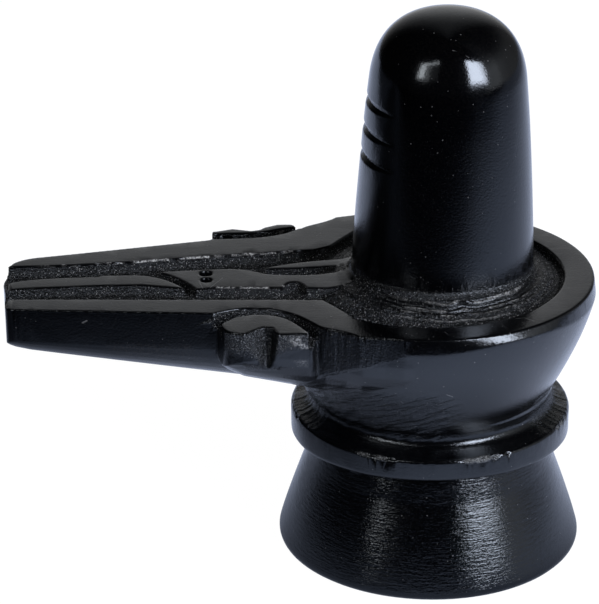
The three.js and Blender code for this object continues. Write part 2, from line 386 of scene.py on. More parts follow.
@dataclass
class Bowl:
    """The round bowl that carries the level top."""

    centre: float = -1.2
    low_radius: float = 27.9
    low: float = 38.6
    widest: float = 37.9
    crease: float = 62.2
    rim: float = 37.5
    rise: float = 1.75  # the crease climbs by this toward the near right, and stands out by swell
    swell: float = 0.35
    rise_turn: float = -62.0  # the direction where it is highest, in degrees
    rise_reach: float = 37.0  # how many degrees away from there it has died out
    rise_foot: float = 50.0  # the wall moves with it from this height up

    def build(self) -> bpy.types.Object:
        """Turns the bowl, and lifts the crease under its rim where it was cut too high.

        Returns:
            The bowl, a closed solid.
        """
        pen = Pen().line((0, self.low), (self.low_radius, self.low))
        pen.curve((self.widest - 2.4, 52), (self.widest, self.crease), steps=20)
        pen.line((self.rim, TOP - 0.4), (self.rim - 0.35, TOP), (0, TOP))
        bowl = Bench.turn("bowl", pen.points)
        for vertex in bowl.data.vertices:
            turn = math.degrees(math.atan2(vertex.co.y, vertex.co.x))
            away = abs(turn - self.rise_turn) / self.rise_reach
            climb = (vertex.co.z / MM - self.rise_foot) / (self.crease - self.rise_foot)
            if 0 < climb < 1.001 and away < 1:
                share = math.cos(away * math.pi / 2) ** 2 * climb**2
                vertex.co.z += self.rise * MM * share
                vertex.co.xy *= 1 + self.swell * share / self.widest
        return Bench.shift(bowl, Vector((self.centre, 0, 0)))


@dataclass(frozen=True)
class Side:
    """One side of the spout and its lug. Half widths are measured from the spout's centre plane."""

    sign: int
    tip: float  # where the spout ends at this side's corner, which is rounded so much
    corner: float
    tip_half: float
    rail_half: float
    lug_left: float  # half widths of the lug's front face
    lug_middle: float
    lug_right: float
    flute_half: float  # at the flute's deepest point
    rail_edge: Plan
    lug_edge: Plan
    lug_start: float = -49.0

    def rail(self, x: float) -> float:
        """Returns half the spout's width at x, on this side."""
        return self.tip_half + (x - TIP) / (self.lug_start - TIP) * (self.rail_half - self.tip_half)

    def place(self, *stops: Spot) -> Plan:
        """Returns points given by x and half width, set on this side."""
        return [(x, self.sign * half) for x, half in stops]

    def outline(self) -> Plan:
        """Draws this side from the tip back past the bowl, seen from above.

        Returns:
            The outline's points.
        """
        pen = Pen().line((TIP - 0.6, 0), (self.tip, self.tip_half - self.corner))
        along = self.tip + self.corner
        pen.curve((self.tip, self.tip_half), (along, self.rail(along) - 0.3), steps=8)
        pen.line((self.lug_start - 0.6, self.rail_half), (self.lug_start, self.rail_half + 5))
        pen.curve((-48.9, self.lug_left), (-46.4, self.lug_left + 0.8), steps=6)
        pen.line((-44.5, self.lug_left + 1.4), (-36.7, self.lug_middle), (-33.7, self.lug_right))
        pen.line((-31.5, self.lug_right))
        pen.curve((-29.7, self.lug_right), (-29.6, self.lug_right - 1.6), steps=5)
        pen.line((-28.3, 27.8)).curve((-26.4, 30.2), (-22.4, 30.8), (-19.6, 34.2), steps=10)
        pen.line((-13, 35.75), (-9, 37.1), (-4, 38.3), (0, 40))
        return self.place(*pen.points)

    def groove(self) -> tuple[Plan, Plan]:
        """Returns the rail's edge and the lug's inner edge of the curved groove between them."""
        return self.place(*rounded(self.rail_edge)), self.place(*rounded(self.lug_edge))

    def flute(self) -> bpy.types.Object:
        """Makes the flute down the lug's front, which runs out part of the way down.

        Returns:
            The cutter for it, a closed solid.
        """
        face, foot = self.lug_left + 1.4, 56.5
        slope = (face - 1.2 - self.flute_half) / (TOP - foot)
        rings = []
        for left, deepest, right, deep, height in (
            (-44.5, -40.2, -36.7, self.flute_half - slope, TOP + 1),
            (-40.6, -39.3, -38.1, face - 1.2, foot),
        ):
            steep = right - 0.3 * (right - deepest)
            stops = [(left, face + 4), (left, face), (deepest, deep), (steep, deep + 0.6)]
            stops += [(right, max(self.lug_middle, deep + 1)), (right, face + 4)]
            rings.append([Vector((x, y, height)) for x, y in self.place(*stops)])
        return Bench.loft("flute", rings)


def rounded(stops: Plan, steps: int = 7) -> Plan:
    """Runs a smooth line through given points.

    Args:
        stops: The points to go through.
        steps: How many points each stretch takes.

    Returns:
        The points of the smooth line.
    """
    line = [stops[0]]
    for i in range(len(stops) - 1):
        before, start = stops[max(i - 1, 0)], stops[i]
        end, after = stops[i + 1], stops[min(i + 2, len(stops) - 1)]
        for step in range(1, steps + 1):
            t = step / steps
            pull = (-t + 2 * t * t - t**3, 2 - 5 * t * t + 3 * t**3, t + 4 * t * t - 3 * t**3, t**3 - t * t)
            near = (before, start, end, after)
            line.append(tuple(sum(p / 2 * stop[axis] for p, stop in zip(pull, near)) for axis in (0, 1)))
    return line


NEAR = Side(
    sign=-1,
    tip=-96.2,
    corner=3,
    tip_half=14.6,
    rail_half=19.8,
    lug_left=29.6,
    lug_middle=31.9,
    lug_right=32.9,
    flute_half=27.6,
    rail_edge=[
        *((-52, 21.4), (-49.5, 19.2), (-44.4, 17.5), (-40.6, 17.8)),
        *((-37.2, 18.6), (-32.4, 22), (-28, 28)),
    ],
    lug_edge=[(-50, 28), (-48.4, 24.8), (-44.6, 21.6), (-38.3, 21.5), (-33.8, 24.9), (-29.6, 33)],
)
FAR = Side(
    sign=1,
    tip=-97.1,
    corner=9,
    tip_half=13.9,
    rail_half=22.4,
    lug_left=27.2,
    lug_middle=29,
    lug_right=30.6,
    flute_half=27.1,
    rail_edge=[(-52, 24), (-49.4, 22.9), (-42.6, 22.6), (-36.9, 23.3), (-32.2, 25.1), (-28.2, 28.3)],
    lug_edge=[(-50.5, 25), (-47.5, 26), (-41, 25.8), (-37.4, 26.3), (-32.7, 28.1), (-29.4, 28.8)],
)


@dataclass
class Spout:
    """The water spout and the wide hull under its two lugs."""

    keel: float = 52.8  # heights at the tip, and how much lower each millimetre away from it
    slope: float = 0.157
    shoulder: float = 59.7
    shoulder_slope: float = 0.035
    ring_points: int = 22
    wide_shoulder: float = 62.0
    wide_rows: tuple[tuple[float, float, float], ...] = (  # x, half width and keel of each section
        (-49.8, 31.8, 54.2),
        (-48.9, 31.8, 51.6),
        (-47.4, 31.8, 50),
        (-44, 31.8, 47.4),
        (-32.7, 31.8, 44),
        (-26.5, 31.7, 42.2),
        (-22, 33.1, 41),
        (-18.8, 35, 40),
        (-14, 35.75, 39.2),
        (-10, 36.75, 38.9),
        (-6, 36.8, 38.6),
    )

    def section(self, x: float, near: float, far: float, shoulder: float, keel: float) -> list[Vector]:
        """Makes one cross section: upright sides, and half an ellipse underneath.

        Args:
            x: Where the section stands.
            near: Half width toward the near side.
            far: Half width toward the far side.
            shoulder: Height where the upright sides end.
            keel: Height of the lowest point.

        Returns:
            The section's ring of points.
        """
        ring = [Vector((x, -near, TOP + 1))]
        for step in range(self.ring_points + 1):
            turn = math.pi * step / self.ring_points
            half = near if 2 * step < self.ring_points else far
            ring.append(Vector((x, -half * math.cos(turn), shoulder - (shoulder - keel) * math.sin(turn))))
        ring.append(Vector((x, far, TOP + 1)))
        return ring

    def slim_hull(self) -> bpy.types.Object:
        """Makes the hull of the spout itself, rounded up a little under the tip.

        Returns:
            The hull, a closed solid that rises past the level top.
        """
        rounding = ((-1.8, 2.9), (-0.6, 2.2), (0.4, 1.2), (1.8, 0.6), (5, 0.15))  # from the tip, and lift
        rings = []
        for along, lift in (*rounding, (16, 0), (32, 0), (48, 0), (70, 0)):
            x = TIP + along
            shoulder = self.shoulder - self.shoulder_slope * along
            keel = self.keel - self.slope * along + lift
            rings.append(self.section(x, NEAR.rail(x) + 0.15, FAR.rail(x) + 0.15, shoulder, keel))
        return Bench.loft("spout", rings)

    def wide_hull(self) -> bpy.types.Object:
        """Makes the hull that carries the lugs and runs back into the bowl.

        Returns:
            The hull, a closed solid that rises past the level top.
        """
        rings = [self.section(x, half, half, self.wide_shoulder, keel) for x, half, keel in self.wide_rows]
        return Bench.loft("lugs", rings)

    def plan(self) -> bpy.types.Object:
        """Returns the upright block that the pedestal's outline is cut to."""
        near, far = NEAR.outline(), FAR.outline()
        return Bench.raise_plan("outline", [*near, (42, -40), (42, 40), *far[:0:-1]], 29, TOP)


@dataclass
class Hollow:
    """The round recess, the channel that leads out of it, and the grooves and flutes of the lugs."""

    floor: float = 63.5
    groove_deep: float = 3.4
    slope: float = 0.9  # the walls end in a slope this high and wide
    recess_centre: float = -1.2
    recess_radius: float = 30.8
    near_edge: tuple[Spot, ...] = ((-98.5, -9.8), (-95, -8.7), (-92, -8.9), (-26, -14.1))
    far_edge: tuple[Spot, ...] = ((-26, 14.7), (-56, 12.1), (-65, 10.9), (-83, 9.7), (-98.5, 9.7))

    def outline(self) -> Plan:
        """Draws the channel and the recess, seen from above.

        Returns:
            The outline's points.
        """
        pen = Pen().line(*self.near_edge).curve((-24.8, -16.2), (-21, -22), steps=6)
        pen.arc((self.recess_centre, 0), self.recess_radius, -126, 114, 96)
        pen.curve((-17.2, 23.6), (-22.2, 16.6), steps=8)
        pen.line(*self.far_edge)
        return pen.points

    def build(self) -> bpy.types.Object:
        """Makes the recess, the channel, and both lugs' grooves and flutes.

        Returns:
            The cutter for all of them.
        """
        cutter = Bench.raise_plan("hollow", self.outline(), self.floor + self.slope, TOP + 2)
        Bench.slope_foot(cutter, self.slope)
        for side in (NEAR, FAR):
            rail, lug = side.groove()
            groove = Bench.raise_plan("lug_groove", [*rail, *lug[::-1]], TOP - self.groove_deep, TOP + 2)
            Bench.combine(cutter, groove, Join.ADD)
            Bench.combine(cutter, side.flute(), Join.ADD)
        return cutter


@dataclass
class Serpent:
    """The serpent in the channel, raised flat: tongue, head with two eyes, and two strands of body."""

    floor: float = 62.6
    top: float = 65.6
    eyes: tuple[tuple[float, float, float], ...] = ((-51.4, 3.1, 1.45), (-51.4, -0.7, 1.25))

    def tongue(self) -> Plan:
        """Draws the long strip that runs out to the tip.

        Returns:
            The outline's points.
        """
        pen = Pen().line((-96.4, -3.4)).curve((-94, -2.4), (-90, -2.4))
        pen.line((-76, -2), (-66, -2.4), (-56.3, -5.1)).curve((-59, -0.6), (-62, 2.4), (-67, 3.4))
        pen.line((-75, 3.8), (-75.6, 3.2), (-84, 3.1))
        return pen.curve((-92, 2.9), (-96.4, 0.7)).points

    def head(self) -> Plan:
        """Draws the head and the near strand, with its one notch.

        Returns:
            The outline's points.
        """
        pen = Pen().line((-61.8, 4.4)).curve((-56.5, 0.6), (-53.8, -5.7)).line((-49, -5))
        pen.curve((-40, -6.2), (-34.4, -6.3)).curve((-33.6, -1.9), (-30.2, -1.9), (-29.2, -6.7))
        pen.line((-24.6, -7.3)).curve((-19.6, -6), (-13, -1.5)).line((-13, 4.4))
        pen.curve((-20, 2), (-26, 0.9)).curve((-33, 0.3), (-38, 2)).curve((-42, 5.2), (-46, 5.5))
        return pen.curve((-54, 5.6), (-60.9, 4.9)).points

    def nicked_edge(self) -> Plan:
        """Returns the head's near edge, from its hood to its notch, where it is chipped and carries a painted
        glint.
        """
        return self.head()[11:23]

    def strand(self) -> Plan:
        """Returns the outline of the thin far strand."""
        pen = Pen().line((-38, 4.8)).curve((-28, 4.2), (-14.5, 6.4)).line((-13.5, 9.4))
        return pen.curve((-28, 9.8), (-38, 5.3)).points

    def build(self) -> bpy.types.Object:
        """Raises the whole relief and drills its eyes.

        Returns:
            The relief, a closed solid.
        """
        relief = Bench.raise_plan("tongue", self.tongue(), self.floor, self.top)
        for name, outline in (("head", self.head()), ("strand", self.strand())):
            Bench.combine(relief, Bench.raise_plan(name, outline, self.floor, self.top), Join.ADD)
        for x, y, radius in self.eyes:
            pit = Pen().line((0, -2.3)).curve((radius * 0.9, -2.3), (radius, -1.2), steps=4)
            pit.line((radius, 0.6), (0, 0.6))
            eye = Bench.shift(Bench.turn("eye", pit.points, 20), Vector((x, y, self.top)))
            Bench.combine(relief, eye, Join.CUT)
        return relief


@dataclass
class Lingam:
    """The domed lingam with the stepped collar at its foot and the three lines over the spout."""

    x: float = 2.0
    lean: float = 0.69  # degrees away from the spout
    height: float = 127.5
    crown: float = 14.5  # the dome's own height
    foot: float = 20.5  # radius at the foot, which is at foot_height
    foot_height: float = 67.2
    neck: float = 17.3  # radius where the dome starts
    bulge: float = 1.2  # four times as much as its side stands out half way up
    collar: tuple[Spot, ...] = (  # radius and height of its steps
        *((29.4, 60), (28.4, 63.8), (27.1, 64), (26.6, 64.6)),
        *((24.6, 64.7), (24.1, 65.3), (21.7, 65.9), (21.2, 66.5)),
    )
    lines: tuple[float, ...] = (107.4, 101.0, 94.9)
    line_depth: float = 1.05
    line_tall: float = 2.1
    line_reach: float = 47.0  # degrees that each line runs to either side of the spout

    def build(self) -> bpy.types.Object:
        """Turns the lingam with its collar, cuts its lines and leans it.

        Returns:
            The lingam, a closed solid.
        """
        spring = self.height - self.crown
        pen = Pen().line((0, self.collar[0][1]), *self.collar, (self.foot + 0.1, self.foot_height))
        pen.curve((self.foot - 1, 92), (self.neck, spring), steps=24)
        pen.curve((self.neck - 0.9, spring + 7.2), (12.4, self.height), (0, self.height), steps=24)
        body = Bench.turn("lingam", pen.points, 160)
        for height in self.lines:
            Bench.combine(body, self.line_cutter(height), Join.CUT)
        lean = Matrix.Rotation(math.radians(self.lean), 4, "Y")
        root = Matrix.Translation((0, 0, TOP * MM))
        body.data.transform(root @ lean @ root.inverted())
        return Bench.shift(body, Vector((self.x, 0, 0)))

    def line_cutter(self, height: float) -> bpy.types.Object:
        """Makes the cutter for one line: a ring, sharp inside, set off so that it cuts only over the spout.

        Args:
            height: The line's height.

        Returns:
            The cutter, a closed ring.
        """
        share = (height - self.foot_height) / (self.height - self.crown - self.foot_height)
        radius = self.foot + share * (self.neck - self.foot) + self.bulge * share * (1 - share)
        shift = self.line_depth / (1 - math.cos(math.radians(self.line_reach))) * 1.04
        edge = radius - self.line_depth + shift
        flare = self.line_tall / 2 / self.line_depth * 3
        profile = [(edge, height), (edge + 3, height - flare), (edge + 3, height + flare), (edge, height)]
        return Bench.shift(Bench.turn("line", profile, 128), Vector((shift, 0, 0)))


# ---------------------------------------------------------------- marks of the tools


class Grain:
    """Random patterns in space that are the same at every run."""

    @staticmethod
    def hashed(cells: np.ndarray, seed: int) -> np.ndarray:
        """Gives each whole-numbered cell a fixed random number from 0 to 1.

        Args:
            cells: Whole numbers, one row of three for each cell.
            seed: Tells one pattern from another.

        Returns:
            One number for each row.
        """
        mixed = np.full(cells.shape[:-1], seed * 2654435761 % 2**32, np.uint64)
        for axis, factor in enumerate((73856093, 19349663, 83492791)):
            mixed ^= cells[..., axis].astype(np.uint64) * np.uint64(factor)
        for bits, factor in ((13, 0x5BD1E995), (15, 0x27D4EB2F)):
            mixed ^= mixed >> np.uint64(bits)
            mixed *= np.uint64(factor)
        mixed ^= mixed >> np.uint64(16)
        return (mixed & np.uint64(0xFFFFFF)).astype(float) / 0xFFFFFF

    @staticmethod
    def noise(places: np.ndarray, seed: int) -> np.ndarray:
        """Gives smooth noise from -1 to 1 with features about one unit across.

        Args:
            places: One row of three for each place.
            seed: Tells one pattern from another.

        Returns:
            One number for each place.
        """
        low = np.floor(places)
        part = places - low
        part = part * part * (3 - 2 * part)
        cells = low.astype(np.int64) + 4096
        total = np.zeros(len(places))
        for corner in np.ndindex(2, 2, 2):
            step = np.array(corner)
            weight = np.prod(np.where(step == 1, part, 1 - part), axis=1)
            total += weight * Grain.hashed(cells + step, seed)
        return 2 * total - 1

    @staticmethod
    def pits(places: np.ndarray, seed: int) -> np.ndarray:
        """Gives the depth, from 0 to 1, of pits struck at random about one unit apart.

        Args:
            places: One row of three for each place.
            seed: Tells one pattern from another.

        Returns:
            One number for each place.
        """
        cells = np.floor(places).astype(np.int64)
        deepest = np.zeros(len(places))
        for corner in np.ndindex(3, 3, 3):
            cell = cells + np.array(corner) - 1
            known = cell + 4096
            centre = cell + np.stack([Grain.hashed(known, seed + k) for k in range(3)], axis=1)
            away = np.linalg.norm(places - centre, axis=1)
            strength = 0.35 + 0.65 * Grain.hashed(known, seed + 3)
            deepest = np.maximum(deepest, strength * np.clip(1 - (away / 0.75) ** 2, 0, 1))
        return deepest


def step_up(value: np.ndarray, low: float, high: float) -> np.ndarray:
    """Rises smoothly from 0 where the value is low to 1 where it is high; high may be below low."""
    share = np.clip((value - low) / (high - low), 0, 1)
    return share * share * (3 - 2 * share)


def distance_to_line(plan: np.ndarray, line: Plan) -> np.ndarray:
    """Measures how far places lie from a line, seen from above.

    Args:
        plan: x and y of each place.
        line: The line's points.

    Returns:
        The distance of each place.
    """
    nearest = np.full(len(plan), np.inf)
    for start, end in zip(line, line[1:]):
        a, run = np.array(start), np.array(end) - np.array(start)
        share = np.clip(((plan - a) @ run) / max(run @ run, 1e-9), 0, 1)
        nearest = np.minimum(nearest, np.linalg.norm(plan - a - share[:, None] * run, axis=1))
    return nearest


def inside(plan: np.ndarray, outline: Plan) -> np.ndarray:
    """Tells which places lie inside an outline, seen from above.

    Args:
        plan: x and y of each place.
        outline: The closed outline's points.

    Returns:
        True or False for each place.
    """
    within = np.zeros(len(plan), bool)
    x, y = plan[:, 0], plan[:, 1]
    for (x1, y1), (x2, y2) in zip(outline, [*outline[1:], outline[0]]):
        if y1 == y2:
            continue
        crossing = ((y1 > y) != (y2 > y)) & (x < (x2 - x1) * (y - y1) / (y2 - y1) + x1)
        within ^= crossing
    return within


def window(value: np.ndarray, low: float, high: float, soft: float) -> np.ndarray:
    """Is 1 between low and high, and has fallen smoothly to 0 where the value is soft outside them."""
    return step_up(value, low - soft, low) * step_up(value, high + soft, high)


@dataclass(frozen=True)
class Chip:
    """A flake lost from an arris, of the ring unless it says otherwise, with the fresh stone showing."""

    turn: float  # its direction, in degrees
    long: float
    size: float
    height: float = 33.6  # of the arris, and the arris's radius
    radius: float = 32.0


@dataclass
class Surface:
    """Places on the stone, in millimetres, and the outward direction at each."""

    places: np.ndarray
    normals: np.ndarray

    def __post_init__(self) -> None:
        """Works out what the marks are placed by, from the axis of the carving above the ring."""
        self.x, self.y, self.z = (self.places - np.array([OFF_AXIS, 0, 0])).T
        self.plan = np.stack([self.x, self.y], axis=1)
        self.turn = np.degrees(np.arctan2(self.y, self.x))
        self.radius = np.hypot(self.x, self.y)
        self.upright = step_up(np.abs(self.normals[:, 2]), 0.75, 0.5)
        self.level = step_up(self.normals[:, 2], 0.35, 0.8)

    @classmethod
    def of(cls, stone: bpy.types.Object) -> "Surface":
        """Reads the stone's mesh.

        Args:
            stone: The stone.

        Returns:
            The places of its vertices, and the outward direction at each.
        """
        count = len(stone.data.vertices)
        places, normals = np.empty(count * 3, np.float32), np.empty(count * 3, np.float32)
        stone.data.vertices.foreach_get("co", places)
        stone.data.vertex_normals.foreach_get("vector", normals)
        return cls(places.reshape(-1, 3).astype(float) / MM, normals.reshape(-1, 3).astype(float))


@dataclass
class ToolMarks:
    """Where the chisel, the point and the polish went over the stone, and where light and shade are painted
    on it.

    A range holds heights, directions in degrees or distances in millimetres.
    """

    hollow: Hollow
    serpent: Serpent
    lingam: Lingam
    peck_size: float = 0.8
    peck_depth: float = 0.3
    ridge_gap: float = 1.45
    ridge_depth: float = 0.3
    stipple_depth: float = 0.16
    stroke_depth: float = 0.24
    slanted_depth: float = 0.4
    radial_depth: float = 0.16
    worn_depth: float = 0.06
    chip_depth: float = 0.42
    nick_depth: float = 0.14
    tip_wear: float = 0.65  # how much lower wear has left the spout's end
    floor_heights: Range = (63.1, 65.2)
    collar_heights: Range = (63.2, 67.6)
    collar_reach: Range = (20.1, 26.0)  # from the lingam's axis
    ridge_reach: Range = (20.7, 25.9)
    ridge_turns: Range = (-120.0, -35.0)
    # turns where the ridges' crests carry a painted highlight
    crest_turns: Range = (-105.0, -50.0)
    groove_heights: Range = (62.0, 65.2)
    flute_x: Range = (-44.3, -36.9)
    flute_heights: Range = (57.0, 65.4)
    lug_front_x: Range = (-48.8, -30.0)
    lug_corner_x: Range = (-32.1, -30.6)
    lug_low: float = 26.6  # the least half width of a lug's flute and notch
    crease_x: tuple[float, ...] = (-27.7, -22.5, -16.3, -10.5, -4.5)  # where the notch meets the bowl
    crease_height: tuple[float, ...] = (53.7, 56.2, 58.9, 61, 62.3)
    wall_reach: Range = (30.4, 31.2)  # from the recess's centre
    wall_heights: Range = (63.5, 65.2)
    under_heights: Range = (41.0, 47.0)
    under_turns: tuple[Range, ...] = ((-158, -98), (118, 165))
    cove_heights: Range = (34.1, 41.5)
    cove_turns: tuple[Range, ...] = ((-38, 25), (158, 181))
    worn_x: Range = (-72.0, -54.0)
    worn_heights: Range = (46.0, 57.0)
    gloss_heights: Range = (100.0, 112.0)
    arris_heights: Range = (65.0, 65.75)
    chips: tuple[Chip, ...] = (
        Chip(-123, 2.2, 0.6, 33.8),
        Chip(-116, 2.4, 0.75, 33.8),
        Chip(-111, 1.2, 0.5, 33.8),
        Chip(-80, 1.9, 0.85),
        Chip(-74.5, 2.6, 1.05),
        Chip(-69, 1.5, 0.75),
        Chip(-63, 0.8, 0.5),
        Chip(-47, 0.9, 0.45, 65.8, 37.6),
        Chip(-41, 1.3, 0.6, 65.8, 37.6),
        Chip(-35.5, 0.7, 0.4, 65.8, 37.6),
        Chip(-12, 1.0, 0.45, 65.8, 37.7),
        Chip(-31, 1.0, 0.7, 33.4),
        Chip(-26, 1.3, 0.7, 33.4),
        Chip(-20.5, 1.0, 0.7, 33.3),
        Chip(55, 1.4, 0.6),
        Chip(96, 0.9, 0.5),
        Chip(131, 1.6, 0.6),
        Chip(-168, 1.0, 0.5),
    )

    def regions(self, at: Surface) -> dict[str, np.ndarray]:
        """Tells how strongly each kind of mark shows at each place.

        Args:
            at: The places on the stone.

        Returns:
            For each kind of mark, one number from 0 to 1 for each place.
        """
        from_edge = distance_to_line(at.plan, self.hollow.outline())
        flecks = step_up(Grain.noise(at.places / 0.8, 83), -0.1, 0.5)
        marks = dict.fromkeys(MARKS, np.zeros(len(at.x)))
        for found in (
            self.floor(at, from_edge),
            self.lug(at, NEAR, flecks),
            self.lug(at, FAR, flecks),
            self.walls(at),
            self.edges(at, from_edge),
        ):
            for name, strength in found.items():
                marks[name] = np.maximum(marks[name], strength)
        # dust lies only on level pecked faces; the pecked walls stay dark as painted shade
        marks["dust_and_wall_shade"] = marks["pecked"] * at.level * (1 - 0.85 * step_up(at.x, -34, -24) * (at.turn < -5))
        return marks

    def floor(self, at: Surface, from_edge: np.ndarray) -> dict[str, np.ndarray]:
        """Finds the pecked floor of the hollow, the ridges round the lingam's foot, and the painted
        highlights on their crests.

        Args:
            at: The places on the stone.
            from_edge: How far each place lies from the hollow's edge, seen from above.

        Returns:
            The strength of each kind of mark found here.
        """
        relief = np.zeros(len(at.x), bool)
        for outline in (self.serpent.head(), self.serpent.strand(), self.serpent.tongue()):
            relief |= inside(at.plan, outline)
        floor = inside(at.plan, self.hollow.outline()) | (from_edge < 0.35)
        for eye_x, eye_y, eye_radius in self.serpent.eyes:
            floor &= np.hypot(at.x - eye_x, at.y - eye_y) > eye_radius + 0.3
        collar = floor * window(at.z, *self.collar_heights, 2.4) * ~(relief & (at.z > 65.3)) * (at.z > 63)
        from_lingam = np.hypot(at.x - self.lingam.x, at.y)
        front = 0.35 + 0.65 * window(at.turn, *self.ridge_turns, 25)
        ridges = collar * window(from_lingam, *self.ridge_reach, 0.5) * (at.z < 67.4) * front
        pecked_collar = collar * window(from_lingam, *self.collar_reach, 0.5) * (1 - 0.75 * ridges)
        # painted highlight: light lines on the ridges' crests, at the front where the key light glints
        crests = ridges * np.clip(self.wave(at.places), 0, 1) ** 2
        crests = crests * step_up(Grain.noise(at.places / 1.6, 82), -0.4, 0.4)
        return {
            "ridges": ridges,
            "pecked": np.maximum(floor * window(at.z, *self.floor_heights, 0.3), pecked_collar),
            "crests": crests * window(at.turn, *self.crest_turns, 22),
        }

    def lug(self, at: Surface, side: Side, flecks: np.ndarray) -> dict[str, np.ndarray]:
        """Finds the marks of one lug and of the notch between it and the bowl.

        Args:
            at: The places on the stone.
            side: The lug's side.
            flecks: Where the stone would break out in flecks.

        Returns:
            The strength of each kind of mark found here.
        """
        x, z = at.x, at.z
        half = side.sign * at.y
        rail, lug = side.groove()
        groove = inside(at.plan, [*rail, *lug[::-1]]) | (distance_to_line(at.plan, rail) < 0.4)
        crease = np.interp(x, self.crease_x, self.crease_height)
        notch = step_up(x, -30.4, -29.2) * (0.15 + 0.85 * step_up(x, -9, -24)) * step_up(x, -2, -8)
        notch = notch * step_up(half, self.lug_low, self.lug_low + 0.6)
        notch = notch * step_up(z, crease - 0.3, crease + 0.6) * (z < 65.5)
        flute = window(x, *self.flute_x, 0.4) * window(half, self.lug_low, side.lug_left + 0.9, 0.4)
        flute = flute * window(z, *self.flute_heights, 1)
        front = window(x, *self.lug_front_x, 0.6) * step_up(half, 27.5, 28.2) * at.upright * (z < 65.5)
        wide = np.where(x < -40, 61.6, 61.8 + 0.35 * (x + 37))
        stipple = front * (1 - flute) * step_up(z, wide - 2.2, wide + 0.8)
        corner = window(x, *self.lug_corner_x, 0.35) * step_up(half, 30.2, 31) * window(z, 55.5, 65.5, 0.6)
        corner = corner * (0.35 + 0.65 * step_up(z, 60, 64.5))
        wedge = front * window(x, -36.6, -31.5, 0.4) * step_up(z - TOP + 0.85 * (x + 36.6), -0.6, 0.6)
        return {
            "pecked": groove * window(z, *self.groove_heights, 0.4),
            "strokes": np.maximum(notch, 0.7 * flute) * at.upright,
            "stipple": np.maximum(stipple, 0.8 * flute * step_up(x, -39.6, -41) * at.upright),
            "crests": np.maximum(corner, 0.6 * wedge) * flecks,
        }

    def walls(self, at: Surface) -> dict[str, np.ndarray]:
        """Finds the marks of the recess's wall, the spout's side, the bowl, the cove and the lingam.

        Args:
            at: The places on the stone.

        Returns:
            The strength of each kind of mark found here.
        """
        recess = np.hypot(at.x - self.hollow.recess_centre, at.y)
        wall = window(recess, *self.wall_reach, 0.2) * window(at.z, *self.wall_heights, 0.3) * at.upright
        front, back = self.under_turns
        under = window(at.z, *self.under_heights, 6) * (at.radius < 40)
        under = under * np.maximum(window(at.turn, *front, 18), 0.8 * window(at.turn, *back, 15))
        right, left = self.cove_turns
        cove = window(at.z, *self.cove_heights, 0.8) * (at.radius < 31.8)
        wear_and_top_sheen = window(at.x, *self.worn_x, 3) * (at.y < 0)
        wear_and_top_sheen = wear_and_top_sheen * window(at.z, *self.worn_heights, 1.5) * at.upright
        return {
            "strokes": wall * (at.x > -22),
            "slanted": under,
            "radial": cove * np.maximum(window(at.turn, *right, 8), window(np.abs(at.turn), *left, 8)),
            # wear on the spout's side, and a painted sheen lightening the lingam's top
            "wear_and_top_sheen": np.maximum(wear_and_top_sheen, 0.12 * step_up(at.z, 106, 120)),
            "gloss": step_up(at.z, *self.gloss_heights),
            "lathe": self.lathe(at.z, at.radius, cove),
        }

    def edges(self, at: Surface, from_edge: np.ndarray) -> dict[str, np.ndarray]:
        """Finds the chips, and the little notches along the edges of the channel and of the serpent's head,
        which the finish lights with a painted glint.

        Args:
            at: The places on the stone.
            from_edge: How far each place lies from the hollow's edge, seen from above.

        Returns:
            The strength of each kind of mark found here.
        """
        arris = window(at.z, *self.arris_heights, 0.2) * (at.x < -31)
        from_head = distance_to_line(at.plan, self.serpent.nicked_edge())
        far_rail = (from_edge < 0.4) * (at.y > 5) * step_up(at.x, -90, -80)
        # the notched arrises also carry a painted glint in the finish
        nicks_and_glints = arris * np.maximum(far_rail, (from_head < 0.4) * (at.y < 0))
        return {
            "bruised": 0.8 * step_up(self.flaked(at.places), 0, 0.5),
            "nicks_and_glints": nicks_and_glints * step_up(Grain.noise(at.places / 1.3, 81), -0.25, 0.3),
        }

    def wave(self, places: np.ndarray) -> np.ndarray:
        """Gives the height of the ridges that run round the lingam's foot.

        Args:
            places: Places on the stone, in millimetres.

        Returns:
            From -1 in a furrow to 1 on a crest.
        """
        x, y, z = places.T
        from_lingam = np.hypot(x - self.lingam.x - OFF_AXIS, y)
        bend = Grain.noise(np.stack([np.arctan2(y, x) * 6.6, z * 0, z * 0], axis=1), 23)
        return np.cos(math.tau * (from_lingam - 20.9 + 0.35 * bend) / self.ridge_gap)

    def lathe(self, z: np.ndarray, radius: np.ndarray, cove: np.ndarray) -> np.ndarray:
        """Tells how strongly the fine lines that run round show at each place.

        Args:
            z: The height of each place.
            radius: Its distance from the carving's axis.
            cove: Where the cove is.

        Returns:
            One number from 0 to 1 for each place.
        """
        foot = window(z, -1, 26.2, 0.6)
        lingam = window(z, 67, 112, 3) * (radius < 24)
        ring = window(z, 27.4, 34, 0.3)
        bowl = window(z, 41, 61.5, 1) * (radius > 24)
        return np.maximum.reduce([foot, 0.14 * lingam, 0.25 * ring, 0.12 * bowl, 0.4 * cove])

    def flaked(self, places: np.ndarray) -> np.ndarray:
        """Tells how deep in a chip each place lies.

        Args:
            places: Places on the stone, in millimetres.

        Returns:
            From 0 outside every chip to 1 at the middle of one.
        """
        deepest = np.zeros(len(places))
        x, y, z = places.T
        ragged = 1 + 0.22 * Grain.noise(places / 0.9, 71)
        for chip in self.chips:
            turn = math.radians(chip.turn)
            along = -x * math.sin(turn) + y * math.cos(turn)
            edge = np.sqrt(np.clip(chip.radius**2 - along**2, 0, None))
            out = x * math.cos(turn) + y * math.sin(turn) - edge
            away = np.hypot(along / chip.long, np.hypot(out, z - chip.height) / chip.size) * ragged
            deepest = np.maximum(deepest, np.clip(1 - away**2, 0, 1) * (out > -3))
        return deepest

